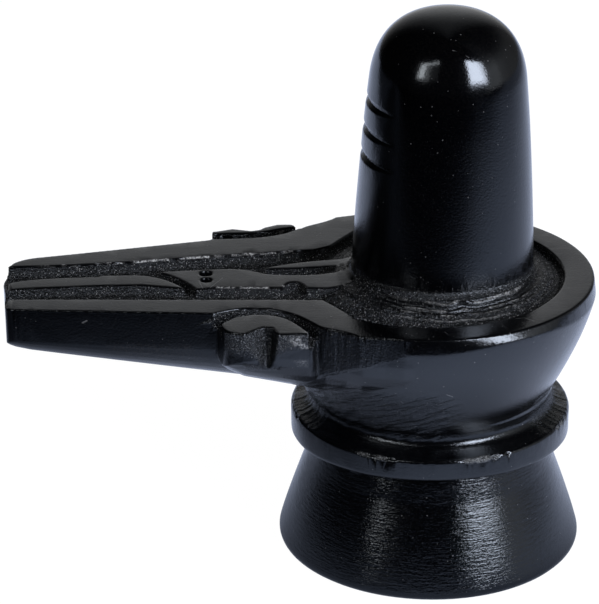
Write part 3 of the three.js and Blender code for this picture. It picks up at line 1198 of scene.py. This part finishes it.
    def depth(self, at: Surface) -> np.ndarray:
        """Works out how far the tools sink or raise each place.

        Args:
            at: The places on the stone.

        Returns:
            The way out of the stone at each place, in millimetres.
        """
        marks = self.regions(at)
        places = at.places
        x, y, z = places.T
        around = np.arctan2(y, x) * 33
        radius = np.hypot(x, y)
        out = 0.035 * Grain.noise(places / 13, 11) + 0.014 * Grain.noise(places / 4.5, 12)
        rough = marks["pecked"] + marks["stipple"] > 0.01
        pecks = np.zeros(len(x))
        pecks[rough] = Grain.pits(places[rough] / self.peck_size, 21)
        fine = Grain.noise(places / 0.6, 22)
        out -= marks["pecked"] * (0.4 + 0.6 * at.level) * (self.peck_depth * pecks - 0.06 + 0.07 * fine)
        out -= marks["stipple"] * self.stipple_depth * pecks
        out += marks["ridges"] * (self.ridge_depth * self.wave(places) + 0.05 * fine)
        for name, deep, pattern in (
            ("strokes", self.stroke_depth, self.streaks(x, y, z / 7, 31)),
            ("slanted", self.slanted_depth, self.slant(around, z)),
            ("radial", self.radial_depth, self.streaks(around / 0.9, radius / 5, z / 9, 51)),
            ("wear_and_top_sheen", self.worn_depth, 0.5 + 0.5 * Grain.noise(places / 0.9, 61)),
        ):
            out -= marks[name] * deep * pattern
        ring = window(z, 27, 37, 1) * (radius < 32.6)
        out += ring * 0.13 * Grain.noise(places / 7, 56)
        out += ring * (z > 33.6) * 0.06 * self.streaks(radius / 1.1, around / 14, z * 0, 55)
        flaked = self.flaked(places)
        out -= self.chip_depth * flaked + 0.1 * flaked * fine
        past = np.clip((TIP + 1.4 - x + OFF_AXIS) / 1.8, 0, 1)
        out -= self.tip_wear * past**2 * at.level * (z > 64)
        out -= marks["nicks_and_glints"] * self.nick_depth * (0.6 + 0.4 * fine)
        return out * step_up(z, 0.15, 0.5)

    def slant(self, around: np.ndarray, z: np.ndarray) -> np.ndarray:
        """Gives the long strokes that climb round the bowl, from -1 to 1, by the way round and the height."""
        return self.streaks((z - 0.42 * around) / 0.85, (around + 1.9 * z) / 8, z * 0, 41)

    @staticmethod
    def streaks(across: np.ndarray, along: np.ndarray, third: np.ndarray, seed: int) -> np.ndarray:
        """Gives long marks side by side, coarse and fine together.

        Args:
            across: Place across the marks, one unit for each mark.
            along: Place along them, one unit for the length of a mark.
            third: Place in the third direction.
            seed: Tells one set of marks from another.

        Returns:
            One number from -1 to 1 for each place.
        """
        coarse = Grain.noise(np.stack([across, along, third], axis=1), seed)
        fine = Grain.noise(np.stack([across * 2.1, along * 1.7, third * 2], axis=1), seed + 1)
        return 0.65 * coarse + 0.35 * fine


# ---------------------------------------------------------------- the finish


class Wiring:
    """Adds shader nodes to a tree and wires them up."""

    def __init__(self, tree: bpy.types.NodeTree) -> None:
        """Keeps the tree that the nodes go into."""
        self.tree = tree

    @classmethod
    def fresh(cls, owner: bpy.types.Material | bpy.types.World) -> "Wiring":
        """Clears the tree of a material or of the world.

        Args:
            owner: What the tree belongs to.

        Returns:
            The wiring of its tree.
        """
        owner.use_nodes = True
        owner.node_tree.nodes.clear()
        return cls(owner.node_tree)

    def add(self, kind: str, inputs: Inputs | None = None, **settings: object) -> bpy.types.Node:
        """Adds one node.

        Args:
            kind: The node's type.
            inputs: A value or a socket for each named or numbered input.
            settings: The node's own settings.

        Returns:
            The new node.
        """
        node = self.tree.nodes.new(kind)
        for key, value in settings.items():
            setattr(node, key, value)
        for key, value in (inputs or {}).items():
            if isinstance(value, Socket):
                self.tree.links.new(value, node.inputs[key])
            else:
                node.inputs[key].default_value = value
        return node

    def sum(self, how: str, *values: Value) -> Socket:
        """Works out one sum of numbers or sockets, such as ADD, and returns its result."""
        return self.add("ShaderNodeMath", dict(enumerate(values)), operation=how).outputs[0]

    def scaled(self, value: Value, by: Value, plus: Value) -> Socket:
        """Multiplies one number by another, adds a third, and returns the result."""
        return self.sum("MULTIPLY_ADD", value, by, plus)

    def product(self, *values: Value) -> Socket:
        """Returns the product of several numbers or sockets."""
        return reduce(lambda first, second: self.sum("MULTIPLY", first, second), values)

    def most(self, *values: Value) -> Socket:
        """Returns the largest of several numbers or sockets."""
        return reduce(lambda first, second: self.sum("MAXIMUM", first, second), values)

    def vectors(self, how: str, first: Value, second: Value) -> list[Socket]:
        """Works out one sum of two vectors, and returns its vector and its number; one of them is in use."""
        return list(self.add("ShaderNodeVectorMath", {0: first, 1: second}, operation=how).outputs)

    def span(self, value: Value, low: float, high: float, first: float = 0.0, last: float = 1.0) -> Socket:
        """Maps a number from between low and high to between first and last, and holds it there."""
        return self.add("ShaderNodeMapRange", {0: value, 1: low, 2: high, 3: first, 4: last}).outputs[0]

    def blend(self, share: Value, first: Value, second: Value) -> Socket:
        """Mixes two colours, by the share that the second has, and returns the mixed one."""
        return self.add("ShaderNodeMix", {"Factor": share, 6: first, 7: second}, data_type="RGBA").outputs[2]

    def noise(self, place: Value, scale: float, detail: float = 2.0, rough: float = 0.5) -> Socket:
        """Adds noise of one scale, with finer layers that are weaker the less rough, and returns it."""
        inputs = {"Vector": place, "Scale": scale, "Detail": detail, "Roughness": rough}
        return self.add("ShaderNodeTexNoise", inputs).outputs[0]

    def ramp(self, value: Value, *stops: Spot) -> Socket:
        """Maps a number through a row of stops, and holds it beyond the ends.

        Args:
            value: The number to read.
            stops: Place and result of each stop; results go from 0 to 1.

        Returns:
            The mapped number.
        """
        low, high = stops[0][0], stops[-1][0]
        node = self.add("ShaderNodeFloatCurve", {"Value": self.span(value, low, high)})
        curve = node.mapping.curves[0]
        while len(curve.points) < len(stops):
            curve.points.new(0.5, 0.5)
        for point, (at, result) in zip(curve.points, stops):
            point.location = ((at - low) / (high - low), result)
            point.handle_type = "VECTOR"
        node.mapping.update()
        return node.outputs[0]


def new_group(name: str, inputs: dict[str, str], output: str) -> tuple[Wiring, list[Socket]]:
    """Starts a node group with one number as its result.

    Args:
        name: The group's name.
        inputs: The kind of each named input.
        output: The result's name.

    Returns:
        The wiring of its tree, and the sockets of its inputs inside it.
    """
    tree = bpy.data.node_groups.new(name, "ShaderNodeTree")
    for key, kind in inputs.items():
        tree.interface.new_socket(key, in_out="INPUT", socket_type=f"NodeSocket{kind}")
    tree.interface.new_socket(output, in_out="OUTPUT", socket_type="NodeSocketFloat")
    w = Wiring(tree)
    return w, list(w.add("NodeGroupInput").outputs)[: len(inputs)]


def fine_lines_group() -> bpy.types.NodeTree:
    """Builds the node group for fine lines that run one way over the stone.

    Returns:
        The group, whose height goes from 0 to 1.
    """
    w, (place, density) = new_group("fine_lines", {"Place": "Vector", "Density": "Vector"}, "Height")
    spread, _ = w.vectors("MULTIPLY", place, density)
    coarse = w.noise(spread, 1.0, 3.0, 0.62)
    fine = w.noise(spread, 3.3, 2.0)
    w.add("NodeGroupOutput", {0: w.scaled(fine, 0.22, w.product(coarse, 0.78))})
    return w.tree


def scratch_group() -> bpy.types.NodeTree:
    """Builds the node group for one hair scratch; when it ends where it starts, it is a speck.

    Returns:
        The group, whose mask is 1 on the scratch.
    """
    inputs = {"Place": "Vector", "Start": "Vector", "End": "Vector", "Width": "Float"}
    w, (place, start, end, width) = new_group("scratch", inputs, "Mask")
    off, _ = w.vectors("SUBTRACT", place, start)
    run, _ = w.vectors("SUBTRACT", end, start)
    _, along = w.vectors("DOT_PRODUCT", off, run)
    _, long = w.vectors("DOT_PRODUCT", run, run)
    share = w.span(w.sum("DIVIDE", along, long), 0, 1)
    nearest = w.add("ShaderNodeVectorMath", {0: run, "Scale": share}, operation="SCALE").outputs[0]
    _, away = w.vectors("DISTANCE", off, nearest)
    ragged = w.scaled(w.noise(place, 2.3), 0.8, 0.6)
    w.add("NodeGroupOutput", {0: w.span(w.sum("DIVIDE", away, w.product(width, ragged)), 0.35, 1, 1, 0)})
    return w.tree


@dataclass(frozen=True)
class Scratch:
    """One hair scratch or speck, from one place to another, in millimetres."""

    start: tuple[float, float, float]
    end: tuple[float, float, float]
    width: float = 0.13
    strength: float = 0.5


@dataclass(frozen=True)
class BlackStone:
    """The stone's finish: black and polished, with dust where it was pecked or chiselled and left rough,
    painted shade on pecked walls, and painted glints and sheen on crests, arrises and the lingam's top.
    """

    black: Colour = (0.0003, 0.0004, 0.0008, 1.0)
    grey: Colour = (0.004, 0.004, 0.0042, 1.0)
    dust: Colour = (0.17, 0.17, 0.165, 1.0)
    # white of pale grains, and of painted glints on arrises and crests
    grain_and_glint_white: Colour = (0.5, 0.5, 0.49, 1.0)
    brown: Colour = (0.022, 0.018, 0.014, 1.0)
    tint: Colour = (0.86, 0.93, 1.0, 1.0)
    ior: float = 1.53
    polished: float = 0.17  # how rough it is in general, at the lingam's top, and where it is cut
    glossy: float = 0.11
    rough: float = 0.25
    turned_depth: float = 0.11  # the relief of each kind of mark, in millimetres
    polish_depth: float = 0.03
    stroke_depth: float = 0.3
    slanted_depth: float = 0.25
    cell_depth: float = 0.25
    grain_depth: float = 0.5
    scratch_depth: float = 0.03
    scratches: tuple[Scratch, ...] = (
        Scratch((-0.73, -33.12, 65.8), (0.58, -36.87, 65.6), 0.1, 0.35),
        Scratch((11.9, -29.31, 65.8), (13.01, -34.04, 65.75), 0.09, 0.25),
        Scratch((15.4, -27.5, 65.8), (17.4, -27.2, 65.8), 0.09, 0.4),
        Scratch((17.4, -27.2, 65.8), (19.3, -29.1, 65.8), 0.09, 0.4),
        Scratch((2.3, -13.2, 122.6), (4.2, -13.4, 122.2), 0.13, 0.5),
        Scratch((4.2, -13.4, 122.2), (5.66, -14.08, 121.2), 0.13, 0.5),
        Scratch((4.2, -13.4, 122.2), (4.6, -12.6, 123.0), 0.1, 0.35),
        Scratch((-52.5, -2.16, 65.6), (-51.5, -7.3, 65.6), 0.15, 0.35),
        Scratch((-51.5, -7.3, 65.6), (-47.27, 0.3, 65.6), 0.15, 0.35),
        Scratch((5.46, -36.72, 59.9), (5.46, -36.72, 59.9), 0.22),
        Scratch((-0.97, -35.18, 53.66), (-0.97, -35.18, 53.66), 0.2),
        Scratch((-0.16, -34.16, 51.23), (1.2, -33.8, 50.52), 0.16),
        Scratch((-47.74, -6.12, 63.5), (-47.74, -6.12, 63.5), 0.35),
        Scratch((-78.7, -16.26, 62.95), (-77.8, -16.37, 63.45), 0.25),
    )

    def build(self) -> bpy.types.Material:
        """Wires the material: what was done to the stone at each place, then its colour, polish and relief.

        Returns:
            The material.
        """
        material = bpy.data.materials.new("black_stone")
        w = Wiring.fresh(material)
        place = w.add("ShaderNodeTexCoord").outputs["Object"]
        mm, _ = w.vectors("MULTIPLY", place, (1 / MM,) * 3)
        x, y, high = w.add("ShaderNodeSeparateXYZ", {0: mm}).outputs
        sheared = w.add("ShaderNodeCombineXYZ", {0: x, 1: y, 2: w.scaled(x, -0.45, high)}).outputs[0]
        at = {name: w.add("ShaderNodeAttribute", attribute_name=name).outputs["Fac"] for name in MARKS}
        chiselled = w.most(at["strokes"], at["slanted"], at["radial"])
        cut = w.most(at["pecked"], w.product(at["ridges"], 0.25), w.product(at["stipple"], 0.8))
        cut = w.most(cut, w.product(chiselled, 0.3), w.product(at["bruised"], 0.8))
        calm = w.sum("SUBTRACT", 1.0, cut)
        grain = w.noise(mm, 2.4, 4.0, 0.68)
        speckle = w.noise(mm, 2.2, 2.0, 0.6)
        sparks = w.span(w.noise(mm, 3.6, 1.0), 0.66, 0.74)
        clouds = w.noise(mm, 0.13, 3.0)
        lit = w.span(grain, 0.48, 0.72)
        lines = fine_lines_group()
        level = w.product(w.span(high, TOP - 0.6, TOP - 0.4), w.span(high, TOP + 0.5, TOP + 0.2))
        marks = self.scratched(w, mm)
        # painted glint along notched arrises, in a band just under the level top
        edge_glints = w.product(at["nicks_and_glints"], w.span(grain, 0.42, 0.55), w.span(high, TOP - 0.55, TOP - 0.4))
        # painted highlights on the ridges' crests, and light flecks at the lugs
        crests = w.product(at["crests"], w.span(grain, 0.4, 0.6), 0.8)
        cells = w.add("ShaderNodeTexVoronoi", {"Vector": mm, "Scale": 2.2}).outputs[0]

        colour = self.black
        for share, tone in (
            (w.product(w.span(speckle, 0.45, 0.7), 0.05), self.brown),
            (w.product(cut, w.scaled(lit, 0.75, 0.25)), self.grey),
            # dust on level pecked faces, with the walls left dark as painted shade
            (w.product(at["dust_and_wall_shade"], lit, 0.27), self.dust),
            (w.product(chiselled, lit, lit, 0.05), self.dust),
            (w.product(at["stipple"], lit, 0.25), self.dust),
            # brown wear on the spout's side, and a painted brown sheen on the lingam's top
            (w.product(at["wear_and_top_sheen"], lit, 0.9), self.brown),
            (w.product(sparks, w.most(at["pecked"], w.product(cut, 0.4)), 0.8), self.grain_and_glint_white),
            (w.product(sparks, calm, w.scaled(at["gloss"], -0.012, 0.018)), self.grain_and_glint_white),
            (w.product(at["bruised"], w.span(grain, 0.42, 0.6, 0.1, 1)), self.dust),
            # painted glints on notched arrises and ridge crests, and light flecks at the lugs
            (w.most(edge_glints, crests), self.grain_and_glint_white),
            (w.product(w.most(marks, w.product(self.specks(w, mm), 0.5)), calm), self.dust),
        ):
            colour = w.blend(share, colour, tone)

        rough = self.polished
        for share, change in (
            (at["gloss"], self.glossy - self.polished),
            (at["lathe"], -0.07),
            (w.sum("SUBTRACT", clouds, 0.5), 0.1),
            (w.sum("SUBTRACT", grain, 0.5), 0.12),
            (cut, self.rough - self.polished),
        ):
            rough = w.scaled(share, change, rough)
        rough = w.most(rough, 0.05)

        height = 0.0
        for pattern, depth in (
            (self.lay(w, lines, mm, Lay.ROUND), w.product(at["lathe"], self.turned_depth)),
            (self.lay(w, lines, mm, Lay.ALONG), w.product(level, calm, self.polish_depth)),
            (self.lay(w, lines, mm, Lay.UPRIGHT), w.product(at["strokes"], self.stroke_depth)),
            (self.lay(w, lines, sheared, Lay.SLANTED), w.product(at["slanted"], self.slanted_depth)),
            (cells, w.product(cut, self.cell_depth)),
            (grain, w.product(cut, self.grain_depth)),
            (speckle, w.scaled(at["gloss"], -0.028, 0.045)),
            (marks, -self.scratch_depth),
        ):
            height = w.scaled(pattern, depth, height)
        bump = w.add("ShaderNodeBump", {"Strength": 1.0, "Distance": MM, "Height": height})
        inputs = {"Base Color": colour, "Roughness": rough, "Normal": bump.outputs[0]}
        inputs |= {"IOR": self.ior, "Specular Tint": self.tint}
        shader = w.add("ShaderNodeBsdfPrincipled", inputs)
        w.add("ShaderNodeOutputMaterial", {0: shader.outputs[0]})
        return material

    @staticmethod
    def lay(w: Wiring, group: bpy.types.NodeTree, place: Socket, lay: Lay) -> Socket:
        """Places the group for fine lines, laid one way, and returns their height."""
        return w.add("ShaderNodeGroup", {0: place, 1: lay.value}, node_tree=group).outputs[0]

    @staticmethod
    def specks(w: Wiring, place: Socket) -> Socket:
        """Scatters light specks of different sizes over the stone.

        Args:
            w: Wires the stone's material.
            place: The place on the stone, in millimetres.

        Returns:
            The mask, 1 on a speck.
        """
        cells = w.add("ShaderNodeTexVoronoi", {"Vector": place, "Scale": 0.9})
        red, green, _ = w.add("ShaderNodeSeparateColor", {0: cells.outputs["Color"]}).outputs
        size = w.scaled(green, 0.13, 0.06)
        near = w.span(w.sum("DIVIDE", cells.outputs["Distance"], size), 0.4, 1, 1, 0)
        return w.product(near, w.span(red, 0.76, 0.8))

    def scratched(self, w: Wiring, place: Socket) -> Socket:
        """Places the single hair scratches.

        Args:
            w: Wires the stone's material.
            place: The place on the stone, in millimetres.

        Returns:
            The mask, with each scratch at its own strength.
        """
        group = scratch_group()
        masks = []
        for scratch in self.scratches:
            inputs = {0: place, 1: scratch.start, 2: scratch.end, 3: scratch.width}
            node = w.add("ShaderNodeGroup", inputs, node_tree=group)
            masks.append(w.product(node.outputs[0], scratch.strength))
        return w.most(*masks)


# ---------------------------------------------------------------- the whole carving


@dataclass
class Carving:
    """The whole stone: its parts joined, its tool marks cut and its finish put on."""

    base: Base = field(default_factory=Base)
    bowl: Bowl = field(default_factory=Bowl)
    spout: Spout = field(default_factory=Spout)
    hollow: Hollow = field(default_factory=Hollow)
    serpent: Serpent = field(default_factory=Serpent)
    lingam: Lingam = field(default_factory=Lingam)
    finish: BlackStone = field(default_factory=BlackStone)
    voxel: float = 0.3
    most_triangles: int = 194000

    def join(self) -> bpy.types.Object:
        """Joins all the parts and cuts the hollows.

        Returns:
            The plain block, with no marks.
        """
        block = self.bowl.build()
        Bench.combine(block, self.spout.slim_hull(), Join.ADD)
        Bench.combine(block, self.spout.wide_hull(), Join.ADD)
        Bench.combine(block, self.spout.plan(), Join.KEEP_COMMON)
        Bench.combine(block, self.hollow.build(), Join.CUT)
        Bench.combine(block, self.serpent.build(), Join.ADD)
        Bench.combine(block, self.lingam.build(), Join.ADD)
        Bench.shift(block, Vector((OFF_AXIS, 0, 0)))
        Bench.combine(block, self.base.build(), Join.ADD)
        block.name = "carved_stone"
        block.data.name = "carved_stone"
        return block

    def cut_marks(self, stone: bpy.types.Object, marks: ToolMarks) -> None:
        """Sinks the tools' marks into the stone.

        Args:
            stone: The stone, with a fine even mesh.
            marks: Where the marks are.
        """
        at = Surface.of(stone)
        places = at.places + at.normals * marks.depth(at)[:, None]
        places[:, 2] = np.maximum(places[:, 2], 0)
        stone.data.vertices.foreach_set("co", (places * MM).astype(np.float32).ravel())
        stone.data.update()

    def paint(self, stone: bpy.types.Object, marks: ToolMarks) -> None:
        """Writes each kind of mark to the mesh, for the finish to read.

        Args:
            stone: The finished mesh.
            marks: Where the marks are.
        """
        for name, strength in marks.regions(Surface.of(stone)).items():
            attribute = stone.data.attributes.new(name, "FLOAT", "POINT")
            attribute.data.foreach_set("value", strength.astype(np.float32))

    def build(self) -> bpy.types.Object:
        """Joins the block, cuts the tools' marks into it and finishes it.

        Returns:
            The finished stone, which stands for the CAD solid.
        """
        stone = self.join()
        log.info("block joined: %d faces", len(stone.data.polygons))
        Bench.apply(stone, "REMESH", mode="VOXEL", voxel_size=self.voxel * MM, adaptivity=0.0)
        Bench.apply(stone, "SMOOTH", factor=0.5, iterations=2)
        log.info("block remeshed: %d faces", len(stone.data.polygons))
        marks = ToolMarks(self.hollow, self.serpent, self.lingam)
        self.cut_marks(stone, marks)
        Bench.apply(stone, "TRIANGULATE")
        share = self.most_triangles / len(stone.data.polygons)
        if share < 1:
            Bench.apply(stone, "DECIMATE", ratio=share)
        self.paint(stone, marks)
        bpy.ops.object.shade_smooth()
        stone.data.materials.clear()
        stone.data.materials.append(self.finish.build())
        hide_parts("lingam_stone")
        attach(stone, "root")
        log.info("stone finished: %d triangles", len(stone.data.polygons))
        return stone


# ---------------------------------------------------------------- floor, light and camera


COOL = (0.96, 0.99, 1.1)  # the colour of the brighter soft boxes, at the right


@dataclass(frozen=True)
class SoftBox:
    """An upright soft box in front of the stone, in metres."""

    name: str
    x: Range
    z: Range
    bright: float
    colour: tuple[float, float, float] = (1, 1, 1)
    y: float = -0.8

    def hang(self) -> None:
        """Hangs the soft box where the camera can't see it."""
        wide, tall = self.x[1] - self.x[0], self.z[1] - self.z[0]
        middle = (sum(self.x) / 2, self.y, sum(self.z) / 2)
        bpy.ops.object.light_add(type="AREA", location=middle, rotation=(math.radians(90), 0, 0))
        light = bpy.context.active_object
        light.name = self.name
        light.data.shape = "RECTANGLE"
        light.data.size, light.data.size_y = wide, tall
        light.data.energy = self.bright * math.pi * wide * tall
        light.data.color = self.colour
        light.visible_camera = False


@dataclass
class Studio:
    """A pale floor, soft boxes in front, a soft glow behind and at the right, and the camera."""

    eye: tuple[float, float, float] = (-0.0654, -0.5791, 0.3149)
    pitch: float = 23.787
    heading: float = 3.5
    roll: float = -0.307
    lens: float = 111.258
    floor_size: float = 6.0
    # how bright the floor is to the stone, by y, by x + y, by x, and by the way from the foot, where a
    # painted shadow dims it
    floor_front: tuple[Spot, ...] = (
        *((-0.65, 0.02), (-0.5, 0.07), (-0.4, 0.18), (-0.35, 0.31)),
        *((-0.3, 0.48), (-0.25, 0.62), (-0.2, 0.9), (-0.15, 1)),
    )
    floor_left: tuple[Spot, ...] = (
        *((-0.33, 0), (-0.25, 0.12), (-0.2, 0.26)),
        *((-0.15, 0.66), (-0.1, 0.9), (-0.05, 1)),
    )
    floor_right: tuple[Spot, ...] = ((0.25, 1), (0.35, 0.85), (0.45, 0.65), (0.55, 0.5), (0.65, 0.3))
    # painted shadow round the foot
    floor_foot_shadow: tuple[Spot, ...] = ((0.036, 0.4), (0.065, 1))
    floor_colour: Colour = (0.84, 0.95, 1.25, 1)
    # how bright the room is to the stone: round it from behind to behind, and from its floor up to its top
    behind: tuple[Spot, ...] = (
        *((0, 0.75), (0.04, 0.4), (0.085, 0.06), (0.12, 0)),
        *((0.9, 0.02), (0.93, 0.35), (0.97, 0.8), (1, 0.75)),
    )
    behind_up: tuple[Spot, ...] = (
        *((0.45, 0.9), (0.5, 1.0), (0.55, 0.75), (0.63, 0.6)),
        *((0.70, 0.36), (0.78, 0.2), (0.9, 0.13), (1, 0.08)),
    )
    right: tuple[Spot, ...] = (
        *((0, 0), (0.63, 0), (0.66, 0.8), (0.705, 0.8)),
        *((0.725, 0.45), (0.77, 0.26), (0.85, 0.1), (1, 0)),
    )
    right_up: tuple[Spot, ...] = (
        *((0.4, 0), (0.44, 0.1), (0.47, 0.5), (0.5, 0.9), (0.6, 1)),
        *((0.64, 0.7), (0.68, 0.3), (0.73, 0.08), (1, 0)),
    )
    room_colour: Colour = (0.97, 0.98, 1, 1)
    boxes: tuple[SoftBox, ...] = (
        SoftBox("key_box", (0.4, 0.88), (0.27, 0.97), 17.0, COOL),
        SoftBox("key_right", (0.88, 1.08), (0.27, 0.97), 11.0, COOL),
        SoftBox("key_low", (0.4, 1.08), (0.2, 0.27), 4.0, COOL),
        SoftBox("fill_left", (-1.06, -0.78), (0.42, 0.97), 7.5),
        SoftBox("fill_top", (-0.78, -0.36), (0.84, 0.97), 4.5),
        SoftBox("fill_middle", (-0.78, -0.58), (0.34, 0.84), 1.1),
        SoftBox("fill_right", (-0.58, -0.34), (0.34, 0.84), 0.15),
    )

    def floor(self) -> bpy.types.Object:
        """Lays the floor, which is pale to the camera, and glows on the stone from below.

        Returns:
            The floor.
        """
        bpy.ops.object.select_all(action="DESELECT")
        bpy.ops.mesh.primitive_plane_add(size=self.floor_size, location=(0, 0, -0.0001))
        floor = bpy.context.active_object
        floor.name = "floor"
        material = bpy.data.materials.new("pale_floor")
        w = Wiring.fresh(material)
        seen = w.add("ShaderNodeLightPath").outputs["Is Camera Ray"]
        sheet = w.add("ShaderNodeEmission", {"Color": self.floor_colour, "Strength": self.floor_glow(w)})
        matte = w.add("ShaderNodeBsdfDiffuse", {"Color": (0.9, 0.9, 0.9, 1)})
        white = w.add("ShaderNodeEmission", {"Color": (1, 1, 1, 1), "Strength": 1.1})
        pale = w.add("ShaderNodeMixShader", {0: 0.9, 1: matte.outputs[0], 2: white.outputs[0]})
        both = w.add("ShaderNodeMixShader", {0: seen, 1: sheet.outputs[0], 2: pale.outputs[0]})
        w.add("ShaderNodeOutputMaterial", {0: both.outputs[0]})
        floor.data.materials.append(material)
        return floor

    def floor_glow(self, w: Wiring) -> Socket:
        """Works out how bright the floor is to the stone: dimmer far off and at a slant, with painted shadows
        close to the foot and under the spout.

        Args:
            w: Wires the floor's material.

        Returns:
            The floor's strength.
        """
        place = w.add("ShaderNodeTexCoord").outputs["Object"]
        x, y, _ = w.add("ShaderNodeSeparateXYZ", {0: place}).outputs
        front = w.ramp(y, *self.floor_front)
        left = w.ramp(w.sum("ADD", x, y), *self.floor_left)
        left = w.most(left, w.product(w.span(y, -0.2, -0.14), 0.09))
        right = w.ramp(x, *self.floor_right)
        away = w.sum("SQRT", w.sum("ADD", w.product(x, x), w.product(y, y)))
        # painted contact shadow: the glow is dimmer close to the foot
        near = w.ramp(away, *self.floor_foot_shadow)
        # painted shadow of the spout on the floor's glow
        spout_shadow = w.product(w.span(x, -0.01, -0.08), w.span(y, 0.15, 0.08), w.span(y, -0.1, -0.04), 0.7)
        slant = w.add("ShaderNodeLayerWeight", {"Blend": 0.5}).outputs["Facing"]
        strength = w.product(front, left, right, near, w.sum("SUBTRACT", 1, spout_shadow))
        return w.product(strength, w.scaled(slant, -0.45, 1.15))

    def world(self) -> None:
        """Sets the light from all round: white to the camera, and a glow on the stone from two sides."""
        world = bpy.data.worlds.new("studio")
        bpy.context.scene.world = world
        w = Wiring.fresh(world)
        direction = w.add("ShaderNodeTexCoord").outputs["Generated"]
        x, y, z = w.add("ShaderNodeSeparateXYZ", {0: direction}).outputs
        around = w.scaled(w.sum("ARCTAN2", x, w.product(y, -1.0)), 1 / math.tau, 0.5)
        up = w.scaled(w.sum("ARCSINE", z), 1 / math.pi, 0.5)
        behind = w.product(w.ramp(around, *self.behind), w.ramp(up, *self.behind_up))
        right = w.product(w.ramp(around, *self.right), w.ramp(up, *self.right_up))
        glow = w.sum("ADD", w.sum("ADD", behind, right), 0.004)
        seen = w.add("ShaderNodeLightPath").outputs["Is Camera Ray"]
        strength = w.add("ShaderNodeMix", {"Factor": seen, 2: glow, 3: 1.06}).outputs[0]
        light = w.add("ShaderNodeBackground", {"Color": self.room_colour, "Strength": strength})
        w.add("ShaderNodeOutputWorld", {0: light.outputs[0]})

    def camera(self) -> None:
        """Sets the camera up."""
        bpy.ops.object.camera_add(location=self.eye)
        camera = bpy.context.active_object
        turn = Matrix.Rotation(math.radians(-self.heading), 4, "Z")
        tip = Matrix.Rotation(math.radians(90 - self.pitch), 4, "X")
        roll = Matrix.Rotation(math.radians(self.roll), 4, "Z")
        camera.matrix_world = Matrix.Translation(self.eye) @ turn @ tip @ roll
        camera.data.sensor_fit = "VERTICAL"
        camera.data.sensor_height = 24
        camera.data.lens = self.lens
        camera.data.clip_start = 0.01
        bpy.context.scene.camera = camera

    def build(self) -> None:
        """Sets up the floor, the lights, the world and the camera."""
        self.floor()
        for box in self.boxes:
            box.hang()
        self.world()
        self.camera()
        view = bpy.context.scene.view_settings
        view.view_transform = "Standard"
        view.look = "None"
        view.exposure = 0.0


def main() -> None:
    """Builds the stone and the studio."""
    logging.basicConfig(level=logging.INFO, format="%(message)s")
    Studio().build()
    log.info("studio ready")
    stone = Carving().build()
    log.info("%s ready", stone.name)


if __name__ == "__main__":
    main()
